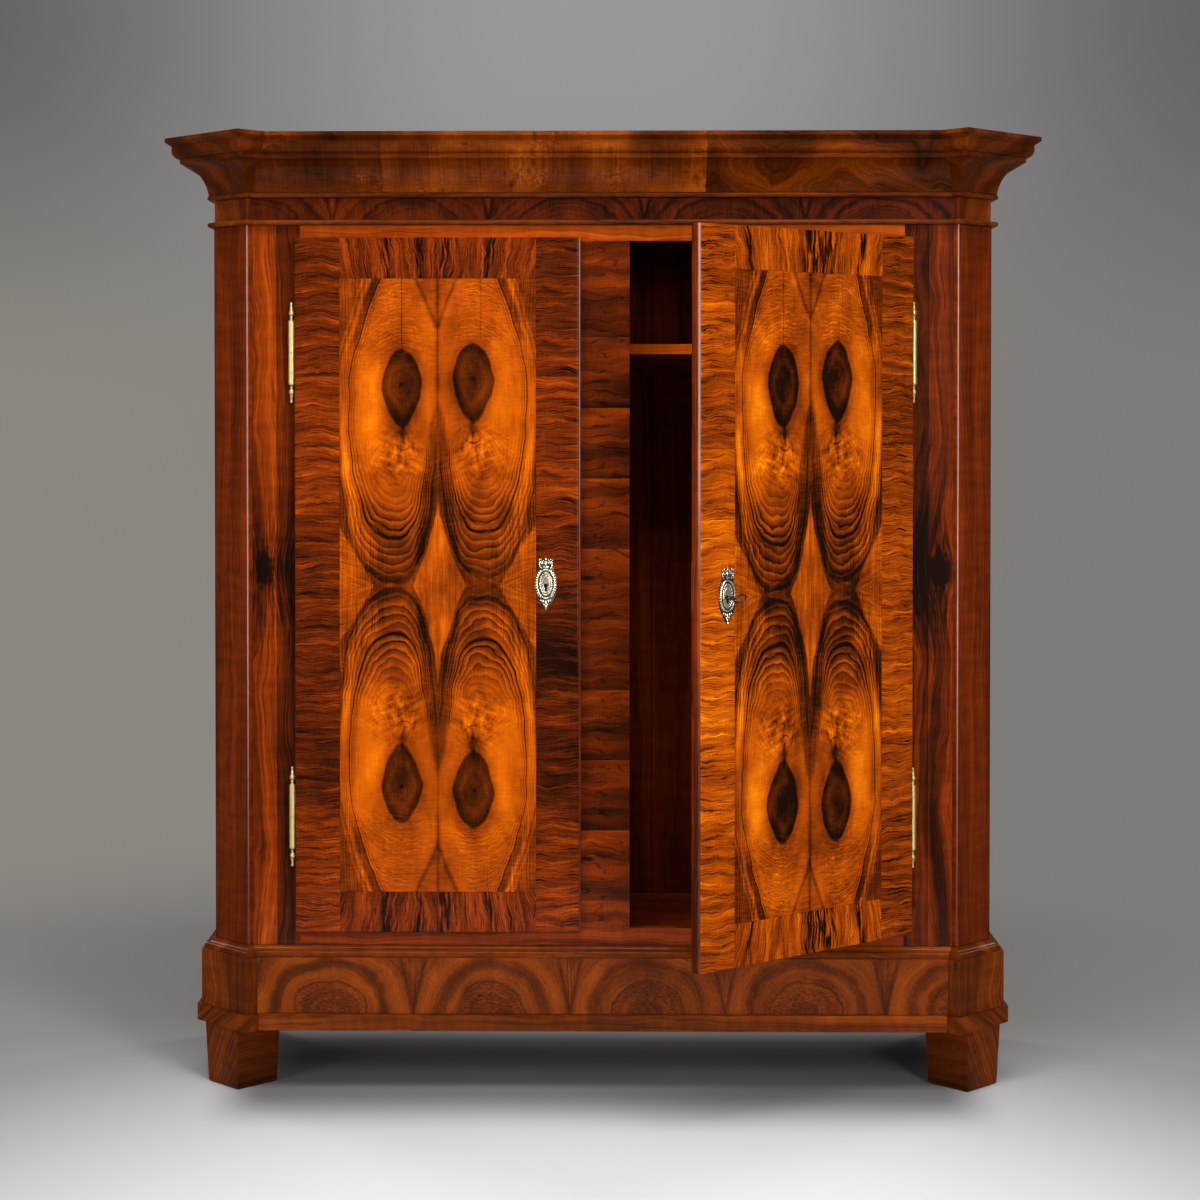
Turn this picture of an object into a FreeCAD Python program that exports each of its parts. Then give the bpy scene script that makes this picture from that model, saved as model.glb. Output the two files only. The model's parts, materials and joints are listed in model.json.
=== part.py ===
import FreeCAD, Part
import math
import os
from types import SimpleNamespace

import Sketcher
from FreeCAD import Placement, Rotation, Vector

# A two-door wardrobe of the early 19th century, in millimetres, +Z up, its front facing -Y.
# Every piece is drawn in the case's own layout, where the face of the front stiles is the
# plane y = 0 and the floor is z = 0. One last shift, worked out below, brings the middle of
# the whole object, with its right door ajar, to the origin.

SIZES = {
    # levels, from the floor up
    "foot_height": 128,
    "band_height": 34,
    "plinth_height": 117,
    "ledge_height": 21.5,
    "case_height": 1514,
    "bead_height": 10.5,
    "frieze_height": 46.5,
    "crown_height": 118,
    # plan of the case: a canted corner with a small nose in front of the stile
    "nose_x": 743.5,
    "nose_out": 9,
    "cant_run": 81.5,
    "case_depth": 480,
    "nose_radius": 4,
    # how far each level stands out from the case
    "band_out": 37.5,
    "plinth_out": 28.5,
    "frieze_in": 1.3,
    "moulding_back": 18,
    "mitre_over": 40,
    # boards
    "side_thickness": 22,
    "front_thickness": 22,
    "plinth_thickness": 24,
    "deck_thickness": 20,
    "base_board_width": 95,
    "back_thickness": 14,
    "back_inset": 2,
    "back_board_gap": 0.6,
    "cornice_board_thickness": 20,
    "dust_board_thickness": 12,
    "dust_board_drop": 45,
    # plinth top moulding
    "ledge_out": 22,
    "ledge_fillet": 4.5,
    "ledge_nose": 4.5,
    "ledge_cove_out": 12.5,
    "ledge_cove_rise": 9,
    "ledge_cove_radius": 13,
    # the two beads beside the frieze
    "bead_out": 13.5,
    # crown moulding
    "cove_foot_out": 11,
    "cove_run": 54,
    "cove_rise": 66,
    "cove_radius": 78,
    "crown_fillet_out": 3,
    "crown_fillet_height": 9,
    "ovolo_radius": 16.5,
    "ovolo_face_height": 9.5,
    "crown_bevel_out": 11,
    "crown_bevel_rise": 7,
    "crown_edge_out": 2.5,
    "crown_edge_rise": 1.5,
    # feet
    "front_foot_bottom": 102,
    "front_foot_top": 111.5,
    "front_foot_in_x": 20.5,
    "front_foot_in_y": 52.5,
    "cant_angle": 45,
    "rear_foot_bottom": 90,
    "rear_foot_top": 100,
    "rear_foot_inset": 58,
    "foot_bevel": 3,
    # front frame round the doors
    "stile_width": 101.5,
    "post_half_width": 58,
    "bottom_rail_height": 37.5,
    "top_rail_height": 33.5,
    # inside
    "hat_space": 227,
    "shelf_thickness": 21,
    "shelf_setback": 85,
    "shelf_end_gap": 1,
    "bearer_thickness": 18,
    "bearer_height": 30,
    "bearer_end_gap": 10,
    "peg_rail_thickness": 18,
    "peg_rail_width": 70,
    "peg_rail_drop": 60,
    "peg_rail_setback": 120,
    "peg_rail_back_gap": 24,
    "peg_length": 62,
    "peg_neck_radius": 6.5,
    "peg_head_radius": 11.5,
    "peg_head_length": 9,
    "peg_tilt": 12,
    # doors
    "door_thickness": 22,
    "door_gap": 0.5,
    "door_post_lap": 13.5,
    "door_stile_lap": 9.5,
    "door_rail_lap": 6,
    "door_round": 8,
    "door_edge_bevel": 1.2,
    "door_panel_depth": 6,
    "door_panel_border": 88,
    "door_panel_lock_rail": 150,
    "swing_angle": 39.5,
    # hinges
    "barrel_radius": 6.7,
    "barrel_gap": 0.8,
    "barrel_length": 65,
    "hinge_axis_out": 16,
    "upper_hinge_drop": 268.5,
    "lower_hinge_rise": 273,
    "hinge_pin_radius": 3.5,
    "hinge_pin_fit": 0.06,
    "hinge_pin_length": 52,
    "hinge_ring_lip": 0.5,
    "hinge_ring_height": 1.2,
    "hinge_play": 0.2,
    "hinge_leaf_thickness": 2.4,
    "hinge_leaf_length": 54,
    "hinge_leaf_inset": 5,
    "hinge_leaf_in_stile": 16,
    "hinge_leaf_in_door": 30,
    "finial_length": 39.5,
    "slot_gap": 0.15,
    # escutcheons
    "escutcheon_inset": 72.7,
    "escutcheon_height": 763,
    "escutcheon_half_width": 22.2,
    "escutcheon_half_height": 56.5,
    "escutcheon_plate": 1.6,
    "escutcheon_boss_rise": 2.4,
    "key_hole_drop": 3.5,
    "key_hole_radius": 4,
    "key_slot_width": 4,
    "key_slot_drop": 11,
    # locks
    "lock_above_key": 25,
    "lock_start": 2,
    "lock_length": 84,
    "lock_height": 80,
    "lock_depth": 18,
    "lock_wall": 1.6,
    "lock_pin_radius": 1.6,
    "lock_pin_length": 11,
    "lock_pin_fit": 0.08,
    "forend_thickness": 2.5,
    "forend_height": 93,
    "bolt_size": 11,
    "bolt_pitch": 50,
    "bolt_fit": 0.4,
    "bolt_rest_depth": 3,
    "bolt_head_length": 27,
    "bolt_bar_width": 10,
    "bolt_plate_thickness": 4,
    "bolt_tail_length": 76,
    "bolt_tail_height": 12,
    "bolt_tail_lift": 5.2,
    "bolt_notch_width": 9,
    "bolt_notch_gap": 0.8,
    "strike_thickness": 1.5,
    "strike_height": 101,
    "strike_width": 16,
    "strike_hole_gap": 1,
    "mortise_depth": 14,
    # key
    "key_shank_radius": 3,
    "key_bit_radius": 9.5,
    "key_bit_width": 6,
    "key_bit_thickness": 2.6,
    "key_end_gap": 2,
    "key_collar_radius": 4.6,
    "key_collar_length": 4,
    "key_collar_out": 6,
    "key_bow_out": 36,
    "key_bow_long": 14,
    "key_bow_short": 12,
    "key_bow_wire": 2,
    "key_rest_angle": 55,
}


class Size:
    """A number together with the sheet formula that gives it."""

    def __init__(self, value, text):
        self.value = value
        self.text = text

    def __add__(self, other):
        other = size(other)
        return Size(self.value + other.value, "(%s + %s)" % (self.text, other.text))

    def __sub__(self, other):
        other = size(other)
        return Size(self.value - other.value, "(%s - %s)" % (self.text, other.text))

    def __mul__(self, other):
        other = size(other)
        return Size(self.value * other.value, "(%s * %s)" % (self.text, other.text))

    def __truediv__(self, other):
        other = size(other)
        return Size(self.value / other.value, "(%s / %s)" % (self.text, other.text))

    def __rsub__(self, other):
        return size(other) - self

    def __neg__(self):
        return Size(-self.value, "(-1 * %s)" % self.text)

    __radd__ = __add__
    __rmul__ = __mul__


def size(number):
    """A plain number as a Size; a Size stays as it is."""
    if isinstance(number, Size):
        return number
    return Size(float(number), repr(float(number)))


def sine(angle):
    return Size(math.sin(math.radians(angle.value)), "sin(%s)" % angle.text)


def cosine(angle):
    return Size(math.cos(math.radians(angle.value)), "cos(%s)" % angle.text)


def root(number):
    return Size(math.sqrt(number.value), "sqrt(%s)" % number.text)


doc = FreeCAD.newDocument("Wardrobe")
sheet = doc.addObject("Spreadsheet::Sheet", "Sizes")
for row, (alias, number) in enumerate(SIZES.items(), 1):
    sheet.set("A%d" % row, alias)
    sheet.set("B%d" % row, str(number))
    sheet.setAlias("B%d" % row, alias)
doc.recompute()
S = SimpleNamespace(**{alias: Size(float(number), "Sizes." + alias) for alias, number in SIZES.items()})
ROOT2 = root(size(2))
BACK_BOARDS = 7
PEGS = 3
TURNED_SIDES = 12
TOLERANCE = 1e-4
SIDES = {"left": -1, "right": 1}

# Levels
band_z = S.foot_height
plinth_z = band_z + S.band_height
ledge_z = plinth_z + S.plinth_height
case_z = ledge_z + S.ledge_height
case_top_z = case_z + S.case_height
frieze_z = case_top_z + S.bead_height
frieze_top_z = frieze_z + S.frieze_height
crown_z = frieze_top_z + S.bead_height
crown_top_z = crown_z + S.crown_height
opening_z = case_z + S.bottom_rail_height
opening_top_z = case_top_z - S.top_rail_height
door_z = opening_z - S.door_rail_lap
door_top_z = opening_top_z + S.door_rail_lap
key_z = case_z + S.escutcheon_height - S.key_hole_drop
lock_z = key_z + S.lock_above_key
door_back_y = -S.door_gap
door_face_y = door_back_y - S.door_thickness
opening_x = S.nose_x - S.nose_out - S.stile_width
door_free_x = S.post_half_width - S.door_post_lap
door_hinge_x = opening_x + S.door_stile_lap
escutcheon_x = door_free_x + S.escutcheon_inset
hinge_x = door_hinge_x + S.barrel_gap + S.barrel_radius
hinge_y = -S.hinge_axis_out

# The right door stands ajar. Its free edge is the foremost point of the whole object.
round_x = hinge_x - door_free_x - S.door_round
round_y = door_face_y + S.door_round - hinge_y
door_reach = round_x * sine(S.swing_angle) - round_y * cosine(S.swing_angle) + S.door_round - hinge_y
setback = (door_reach - S.case_depth) / 2


def nose(out):
    """The front corner of the canted pilaster, at a distance out from the case."""
    return S.nose_x, -S.nose_out - ROOT2 * out


def side_corner(out):
    """The corner where the cant meets the side."""
    return S.nose_x + S.cant_run + out, S.cant_run - S.nose_out - (ROOT2 - 1) * out


def inner_corner(out):
    """The corner where the nose returns to the front plane."""
    return S.nose_x - S.nose_out - (ROOT2 - 1) * out, -out


case_half_width, cant_end_y = side_corner(size(0))
stile_outer_x, stile_face_y = inner_corner(size(0))
inside_x = case_half_width - S.side_thickness
back_face_y = S.case_depth - S.back_inset - S.back_thickness


def bind(thing, prop, amount):
    """Ties one property to its formula in the sheet."""
    thing.setExpression(prop, size(amount).text)


def place(thing, x=0, y=0, z=0):
    for axis, amount in (("x", x), ("y", y), ("z", z)):
        bind(thing, "Placement.Base." + axis, amount)


# Where each box stands in the case's layout, for those that are finished pieces by themselves
drawn_at = {}


def box(x, y, z, name="Board"):
    """A box between two sizes along each axis, given in either order along x."""
    low_x, high_x = sorted(x, key=lambda edge: size(edge).value)
    piece = doc.addObject("Part::Box", name)
    bind(piece, "Length", high_x - low_x)
    bind(piece, "Width", y[1] - y[0])
    bind(piece, "Height", z[1] - z[0])
    place(piece, low_x, y[0], z[0])
    drawn_at[piece.Name] = (low_x, y[0], z[0])
    return piece


def cylinder(radius, x, y, z, name="Round"):
    """An upright cylinder between two heights."""
    piece = doc.addObject("Part::Cylinder", name)
    bind(piece, "Radius", radius)
    bind(piece, "Height", z[1] - z[0])
    place(piece, x, y, z[0])
    return piece


def across_y(radius, x, y, z, name="Bore"):
    """A cylinder lying along y, between two depths."""
    piece = doc.addObject("Part::Cylinder", name)
    bind(piece, "Radius", radius)
    bind(piece, "Height", y[1] - y[0])
    piece.Placement = Placement(Vector(0, 0, 0), Rotation(Vector(1, 0, 0), -90))
    place(piece, x, y[0], z)
    return piece


def fuse(*pieces, name="Joined"):
    joined = doc.addObject("Part::MultiFuse", name)
    joined.Shapes = list(pieces)
    return joined


def cut(base, *tools, name="Trimmed"):
    trimmed = doc.addObject("Part::Cut", name)
    trimmed.Base = base
    trimmed.Tool = tools[0] if len(tools) == 1 else fuse(*tools)
    return trimmed


def group(*pieces, name="Set"):
    """Several separate solids that share one node."""
    together = doc.addObject("Part::Compound", name)
    together.Links = list(pieces)
    return together


def arc_centre(start, end, radius, turn):
    """The centre of the minor arc from start to end; turn is 1 anticlockwise, -1 clockwise."""
    middle = (start + end) / 2
    chord = end - start
    rise = math.sqrt(max(radius * radius - chord.Length * chord.Length / 4, 0))
    normal = Vector(-chord.y, chord.x, 0).normalize()
    return middle + normal * (rise * turn)


def draw(sketch, corners, closed=True):
    """Draws an outline. A corner is (a, b), or (a, b, radius, turn) where an arc arrives."""
    spots = [Vector(size(c[0]).value, size(c[1]).value, 0) for c in corners]
    count = len(corners) if closed else len(corners) - 1
    first = sketch.GeometryCount
    starts = []
    for i in range(count):
        begin, end, target = spots[i], spots[(i + 1) % len(spots)], corners[(i + 1) % len(spots)]
        if len(target) == 2:
            sketch.addGeometry(Part.LineSegment(begin, end))
            starts.append(1)
            continue
        radius, turn = target[2], target[3]
        centre = arc_centre(begin, end, radius.value, turn)
        low, high = (begin, end) if turn > 0 else (end, begin)
        angles = [math.atan2(p.y - centre.y, p.x - centre.x) for p in (low, high)]
        circle = Part.Circle(centre, Vector(0, 0, 1), radius.value)
        sketch.addGeometry(Part.ArcOfCircle(circle, *angles))
        starts.append(1 if turn > 0 else 2)
    joins = count if closed else count - 1
    for i in range(joins):
        following = (i + 1) % count
        ends = first + i, 3 - starts[i], first + following, starts[following]
        sketch.addConstraint(Sketcher.Constraint("Coincident", *ends))
    for i in range(len(corners)):
        if i < count:
            edge, point = first + i, starts[i]
        else:
            edge, point = first + i - 1, 3 - starts[i - 1]
        for kind, amount in (("DistanceX", corners[i][0]), ("DistanceY", corners[i][1])):
            rule = Sketcher.Constraint(kind, -1, 1, edge, point, size(amount).value)
            bind(sketch, "Constraints[%d]" % sketch.addConstraint(rule), amount)
    for i in range(count):
        target = corners[(i + 1) % len(corners)]
        if len(target) > 2:
            rule = Sketcher.Constraint("Radius", first + i, target[2].value)
            bind(sketch, "Constraints[%d]" % sketch.addConstraint(rule), target[2])


def new_body(name):
    return doc.addObject("PartDesign::Body", name)


def sketch_in(body, plane, lift, *outlines):
    """A sketch on one of the body's own planes, lifted along that plane's normal."""
    sketch = body.newObject("Sketcher::SketchObject", "Outline")
    support = [feature for feature in body.Origin.OriginFeatures if feature.Role == plane]
    sketch.AttachmentSupport = [(support[0], "")]
    sketch.MapMode = "FlatFace"
    bind(sketch, "AttachmentOffset.Base.z", lift)
    for outline in outlines:
        draw(sketch, outline)
    return sketch


def pad(body, sketch, length):
    feature = body.newObject("PartDesign::Pad", "Pad")
    feature.Profile = sketch
    bind(feature, "Length", length)
    return feature


def pocket(body, sketch, length, toward_normal):
    """Cuts from a sketch, and makes sure that the cut took material away."""
    doc.recompute()
    before = body.Shape.Volume
    feature = body.newObject("PartDesign::Pocket", "Pocket")
    feature.Profile = sketch
    feature.Reversed = toward_normal
    bind(feature, "Length", length)
    doc.recompute()
    if not body.Shape.Volume < before:
        raise RuntimeError("a pocket in %s cut nothing" % body.Name)
    return feature


def edges_where(shape, test):
    return ["Edge%d" % (i + 1) for i, edge in enumerate(shape.Edges) if test(edge)]


def upright_at(x, y):
    """A test for the upright edges that stand at a point of the plan."""
    spot = Vector(size(x).value, size(y).value, 0)

    def test(edge):
        ends = [Vector(v.X, v.Y, 0) for v in edge.Vertexes]
        return len(ends) == 2 and all(end.isEqual(spot, TOLERANCE) for end in ends)

    return test


def fillet(body, base, test, radius):
    """Rounds the edges of a feature that pass the test."""
    doc.recompute()
    feature = body.newObject("PartDesign::Fillet", "Fillet")
    feature.Base = (base, edges_where(base.Shape, test))
    bind(feature, "Radius", radius)
    return feature


def bevel(body, base, test, width):
    """Bevels the edges of a feature that pass the test."""
    doc.recompute()
    feature = body.newObject("PartDesign::Chamfer", "Bevel")
    feature.Base = (base, edges_where(base.Shape, test))
    bind(feature, "Size", width)
    return feature


def board_outline(name, corners, z, thickness):
    """A board cut to an outline in plan."""
    body = new_body(name)
    pad(body, sketch_in(body, "XY_Plane", z, corners), thickness)
    return body


def mirror_plan(side, corners):
    return [(side * x, y) for x, y in corners]


# Finished pieces, each with the label that names its file
finished = []


def finish(label, piece, swing=None):
    """Puts a piece in its place: shifted with the case, and turned if it rides on the right door."""
    piece.Label = label
    x, y, z = drawn_at.get(piece.Name, (size(0), size(0), size(0)))
    if swing is None:
        place(piece, x, y + setback, z)
    else:
        piece.Placement = Placement(Vector(0, 0, 0), Rotation(Vector(0, 0, 1), swing.value))
        bind(piece, "Placement.Rotation.Angle", swing)
        turned_x = hinge_x * cosine(swing) - hinge_y * sine(swing)
        turned_y = hinge_x * sine(swing) + hinge_y * cosine(swing)
        place(piece, hinge_x - turned_x, hinge_y - turned_y + setback, 0)
    finished.append(piece)


def door_swing(side):
    """The right door is ajar, the left one is shut."""
    return S.swing_angle if side > 0 else None


# Feet: tapered blocks, the front pair set square to the canted corners
def foot(label, x, y, bottom, top, turn):
    block = doc.addObject("Part::Wedge", "Foot")
    half, half_top = bottom / 2, top / 2
    for low, high, half_side in (("Xmin", "Xmax", half), ("Zmin", "Zmax", half)):
        bind(block, low, -half_side)
        bind(block, high, half_side)
    for low, high in (("X2min", "X2max"), ("Z2min", "Z2max")):
        bind(block, low, -half_top)
        bind(block, high, half_top)
    bind(block, "Ymin", 0)
    bind(block, "Ymax", S.foot_height)
    stood = Rotation(Vector(1, 0, 0), 90)
    block.Placement = Placement(Vector(0, 0, 0), stood)
    doc.recompute()
    shape = block.Shape
    eased = doc.addObject("Part::Chamfer", "Foot")
    eased.Base = block
    on_floor = [i + 1 for i, edge in enumerate(shape.Edges) if edge.BoundBox.ZMax < TOLERANCE]
    eased.Edges = [(i, S.foot_bevel.value, S.foot_bevel.value) for i in on_floor]
    eased.Label = label
    eased.Placement = Placement(Vector(0, 0, 0), Rotation(Vector(0, 0, 1), turn.value))
    bind(eased, "Placement.Rotation.Angle", turn)
    place(eased, x, y + setback, 0)
    finished.append(eased)


def feet():
    front_x = S.nose_x + S.front_foot_in_x
    front_y = S.front_foot_in_y - S.nose_out
    rear_x = case_half_width + S.plinth_out - S.rear_foot_inset
    rear_y = S.case_depth - S.rear_foot_inset
    for word, side in SIDES.items():
        foot("foot_front_" + word, side * front_x, front_y, S.front_foot_bottom, S.front_foot_top, S.cant_angle)
        foot("foot_rear_" + word, side * rear_x, rear_y, S.rear_foot_bottom, S.rear_foot_top, size(0))


def corner_run(out, thickness):
    """Plan of a canted corner and its side in one, from the front plane to the back."""
    side_x, side_y = side_corner(out)
    inner_x, face_y = inner_corner(out)
    inside = side_x - thickness
    bend_y = face_y + thickness + (inside - inner_x)
    return [
        inner_corner(out), nose(out), side_corner(out), (side_x, S.case_depth),
        (inside, S.case_depth), (inside, bend_y), (inner_x, face_y + thickness),
    ]


def corner_block(out, thickness):
    """Plan of a canted corner alone."""
    inner_x, face_y = inner_corner(out)
    side_x, side_y = side_corner(out)
    bend_x = inner_x + side_y - face_y - thickness
    return [
        inner_corner(out), nose(out), side_corner(out),
        (bend_x, side_y), (inner_x, face_y + thickness),
    ]


def notched(width_range, y_range, z_range, notch_x, notch_z_range):
    """A board across the back, its ends cut away where a neighbour lies further in."""
    end_x = width_range[1]
    notches = [
        box((side * notch_x, side * end_x), y_range, notch_z_range) for side in SIDES.values()
    ]
    return cut(box(width_range, y_range, z_range), *notches)


def base():
    """The base frame with its projecting band, and the plinth above it."""
    band_x, band_y = inner_corner(S.band_out)
    band_z_range = (band_z, plinth_z)
    finish("base_band_front", box((-band_x, band_x), (band_y, band_y + S.base_board_width), band_z_range))
    rail_x = case_half_width + S.band_out - S.base_board_width
    rail_y = (S.case_depth - S.base_board_width, S.case_depth)
    finish("base_rail_back", box((-rail_x, rail_x), rail_y, band_z_range))
    plinth_x, plinth_y = inner_corner(S.plinth_out)
    plinth_z_range = (plinth_z, ledge_z)
    front_y = (plinth_y, plinth_y + S.plinth_thickness)
    finish("plinth_front", box((-plinth_x, plinth_x), front_y, plinth_z_range))
    outer_x, cant_y = side_corner(S.plinth_out)
    inner_x = outer_x - S.side_thickness
    back_y = (S.case_depth - S.side_thickness, S.case_depth)
    ledge_x = case_half_width - S.moulding_back
    plinth_back = notched((-inner_x, inner_x), back_y, (plinth_z, case_z), ledge_x, (ledge_z, case_z))
    finish("plinth_back", plinth_back)
    for word, side in SIDES.items():
        band = mirror_plan(side, corner_run(S.band_out, S.base_board_width))
        finish("base_band_" + word, board_outline("Band", band, band_z, S.band_height))
        block = mirror_plan(side, corner_block(S.plinth_out, S.plinth_thickness))
        finish("plinth_corner_" + word, board_outline("Corner", block, plinth_z, S.plinth_height))
        plinth_side = box((side * inner_x, side * outer_x), (cant_y, S.case_depth), plinth_z_range)
        finish("plinth_side_" + word, plinth_side)


# Mouldings: one profile is run along the front and swept round each canted corner, and the two
# meet in a mitre. A profile is drawn as (distance out, height above its level).
ledge_low_z = S.ledge_height - S.ledge_cove_rise - S.ledge_nose - S.ledge_fillet
LEDGE_PROFILE = [
    (-S.moulding_back, size(0)),
    (S.ledge_out, size(0)),
    (S.ledge_out, ledge_low_z + S.ledge_fillet),
    (S.ledge_out - S.ledge_nose, ledge_low_z + S.ledge_fillet + S.ledge_nose, S.ledge_nose, 1),
    (S.ledge_out - S.ledge_nose - S.ledge_cove_out, S.ledge_height, S.ledge_cove_radius, -1),
    (-S.moulding_back, S.ledge_height),
]
bead_radius = S.bead_height / 2
BEAD_PROFILE = [
    (-S.moulding_back, size(0)),
    (S.bead_out - bead_radius, size(0)),
    (S.bead_out, bead_radius, bead_radius, 1),
    (S.bead_out - bead_radius, S.bead_height, bead_radius, 1),
    (-S.moulding_back, S.bead_height),
]
cove_out = S.cove_foot_out + S.cove_run
fillet_out = cove_out + S.crown_fillet_out
ovolo_z = S.cove_rise + S.crown_fillet_height
ovolo_out = fillet_out + S.ovolo_radius
bevel_z = ovolo_z + S.ovolo_radius + S.ovolo_face_height
bevel_out = ovolo_out + S.crown_bevel_out
edge_out = bevel_out + S.crown_edge_out
edge_z = bevel_z + S.crown_bevel_rise + S.crown_edge_rise
CROWN_PROFILE = [
    (-S.moulding_back, size(0)),
    (S.cove_foot_out, size(0)),
    (cove_out, S.cove_rise, S.cove_radius, -1),
    (fillet_out, S.cove_rise),
    (fillet_out, ovolo_z),
    (ovolo_out, ovolo_z + S.ovolo_radius, S.ovolo_radius, 1),
    (ovolo_out, bevel_z),
    (bevel_out, bevel_z + S.crown_bevel_rise),
    (edge_out, edge_z),
    (edge_out, S.crown_height),
    (-S.moulding_back, S.crown_height),
]
total_out = edge_out


def free_sketch(corners, closed=True):
    sketch = doc.addObject("Sketcher::SketchObject", "Outline")
    draw(sketch, corners, closed)
    return sketch


def mitre_block():
    """Everything between the two inner mitres, in plan, over the whole height."""
    back_x, back_y = inner_corner(-S.moulding_back - S.mitre_over)
    tip_x, tip_y = inner_corner(total_out + S.mitre_over)
    plan = free_sketch([(-back_x, back_y), (-tip_x, tip_y), (tip_x, tip_y), (back_x, back_y)])
    block = doc.addObject("Part::Extrusion", "Mitres")
    block.Base = plan
    block.Dir = Vector(0, 0, 1)
    block.Solid = True
    bind(block, "LengthFwd", crown_top_z + S.mitre_over)
    return block


def profile_sketch(profile, z):
    """A moulding's profile, standing across the front at the middle of the case."""
    sketch = free_sketch(profile)
    facing = Rotation(Vector(0, -1, 0), Vector(0, 0, 1), Vector(-1, 0, 0), "ZXY")
    sketch.Placement = Placement(Vector(0, 0, 0), facing)
    place(sketch, 0, 0, z)
    return sketch


def moulding(profile, z, mitres):
    """Front, left and right lengths of one moulding."""
    section = profile_sketch(profile, z)
    run = doc.addObject("Part::Extrusion", "Run")
    run.Base = section
    run.Dir = Vector(1, 0, 0)
    run.Solid = True
    for end in ("LengthFwd", "LengthRev"):
        bind(run, end, case_half_width)
    front = doc.addObject("Part::Common", "Front")
    front.Base = run
    front.Tool = mitres
    lengths = {"front": front}
    for word, side in SIDES.items():
        bends = [(size(0), size(0)), inner_corner(size(0)), nose(size(0)), side_corner(size(0))]
        bends.append((case_half_width, S.case_depth))
        path = free_sketch(mirror_plan(side, bends), closed=False)
        place(path, 0, 0, z)
        sweep = doc.addObject("Part::Sweep", "Sweep")
        sweep.Sections = [section]
        sweep.Spine = (path, ["Edge%d" % (i + 1) for i in range(len(bends) - 1)])
        sweep.Solid = True
        sweep.Transition = "Right corner"
        lengths[word] = cut(sweep, mitres)
    return lengths


def mouldings():
    mitres = mitre_block()
    for word, length in moulding(LEDGE_PROFILE, ledge_z, mitres).items():
        finish("plinth_moulding_" + word, length)
    for word, length in moulding(CROWN_PROFILE, crown_z, mitres).items():
        finish("cornice_" + word, length)
    finish("architrave_beads", group(*moulding(BEAD_PROFILE, case_top_z, mitres).values()))
    finish("cornice_beads", group(*moulding(BEAD_PROFILE, frieze_top_z, mitres).values()))


def case():
    """Pilasters, stiles, rails, sides, floor, top and back."""
    upright = (case_z, case_top_z)
    frame_y = (size(0), S.front_thickness)
    for word, side in SIDES.items():
        body = new_body("Pilaster")
        plan = mirror_plan(side, corner_block(size(0), S.front_thickness))
        block = pad(body, sketch_in(body, "XY_Plane", case_z, plan), S.case_height)
        nose_x, nose_y = nose(size(0))
        fillet(body, block, upright_at(side * nose_x, nose_y), S.nose_radius)
        finish("pilaster_" + word, body)
        side_board = box((side * inside_x, side * case_half_width), (cant_end_y, S.case_depth), upright)
        finish("case_side_" + word, side_board)
        stile = box((side * opening_x, side * stile_outer_x), frame_y, upright)
        slots = [hinge_leaf_in_stile(side, joint_z, S.slot_gap) for joint_z in hinge_joints()]
        finish("stile_" + word, cut(stile, *slots))
    rail_x = (-opening_x, opening_x)
    finish("bottom_rail", box(rail_x, frame_y, (case_z, opening_z)))
    finish("top_rail", box(rail_x, frame_y, (opening_top_z, case_top_z)))
    centre_post(frame_y)
    bend_x = stile_outer_x + cant_end_y - S.front_thickness
    deck = [
        (-inside_x, back_face_y), (-inside_x, cant_end_y), (-bend_x, cant_end_y),
        (-stile_outer_x, S.front_thickness), (stile_outer_x, S.front_thickness),
        (bend_x, cant_end_y), (inside_x, cant_end_y), (inside_x, back_face_y),
    ]
    finish("case_floor", board_outline("Floor", deck, case_z, S.deck_thickness))
    finish("case_top", board_outline("Top", deck, case_top_z - S.deck_thickness, S.deck_thickness))
    pitch = inside_x * 2 / BACK_BOARDS
    half_gap = S.back_board_gap / 2
    back_y = (back_face_y, back_face_y + S.back_thickness)
    boards = []
    for i in range(BACK_BOARDS):
        start = pitch * i - inside_x
        boards.append(box((start + half_gap, start + pitch - half_gap), back_y, upright))
    finish("back_boards", group(*boards))


def centre_post(frame_y):
    """The fixed post between the doors, let in on both edges for strike plates and lock bolts."""
    post = box((-S.post_half_width, S.post_half_width), frame_y, (opening_z, opening_top_z))
    tools = []
    for side in SIDES.values():
        edge = side * S.post_half_width
        tools.append(strike_blank(side, size(0)))
        for z in bolt_heights():
            half = S.bolt_size / 2 + S.strike_hole_gap
            mortise_y = (bolt_y - half, bolt_y + half)
            tools.append(box((edge, edge - side * S.mortise_depth), mortise_y, (z - half, z + half)))
    finish("centre_post", cut(post, *tools))


def strike_blank(side, gap):
    edge = side * S.post_half_width
    half_y = S.strike_width / 2 - gap
    half_z = S.strike_height / 2 - gap
    strike_y = (bolt_y - half_y, bolt_y + half_y)
    return box((edge, edge - side * S.strike_thickness), strike_y, (lock_z - half_z, lock_z + half_z))


def strikes():
    for word, side in SIDES.items():
        edge = side * S.post_half_width
        half = S.bolt_size / 2 + S.strike_hole_gap
        holes = []
        for z in bolt_heights():
            hole_y = (bolt_y - half, bolt_y + half)
            holes.append(box((edge, edge - side * S.strike_thickness), hole_y, (z - half, z + half)))
        finish(word + "_strike_plate", cut(strike_blank(side, size(0)), *holes))


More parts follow.
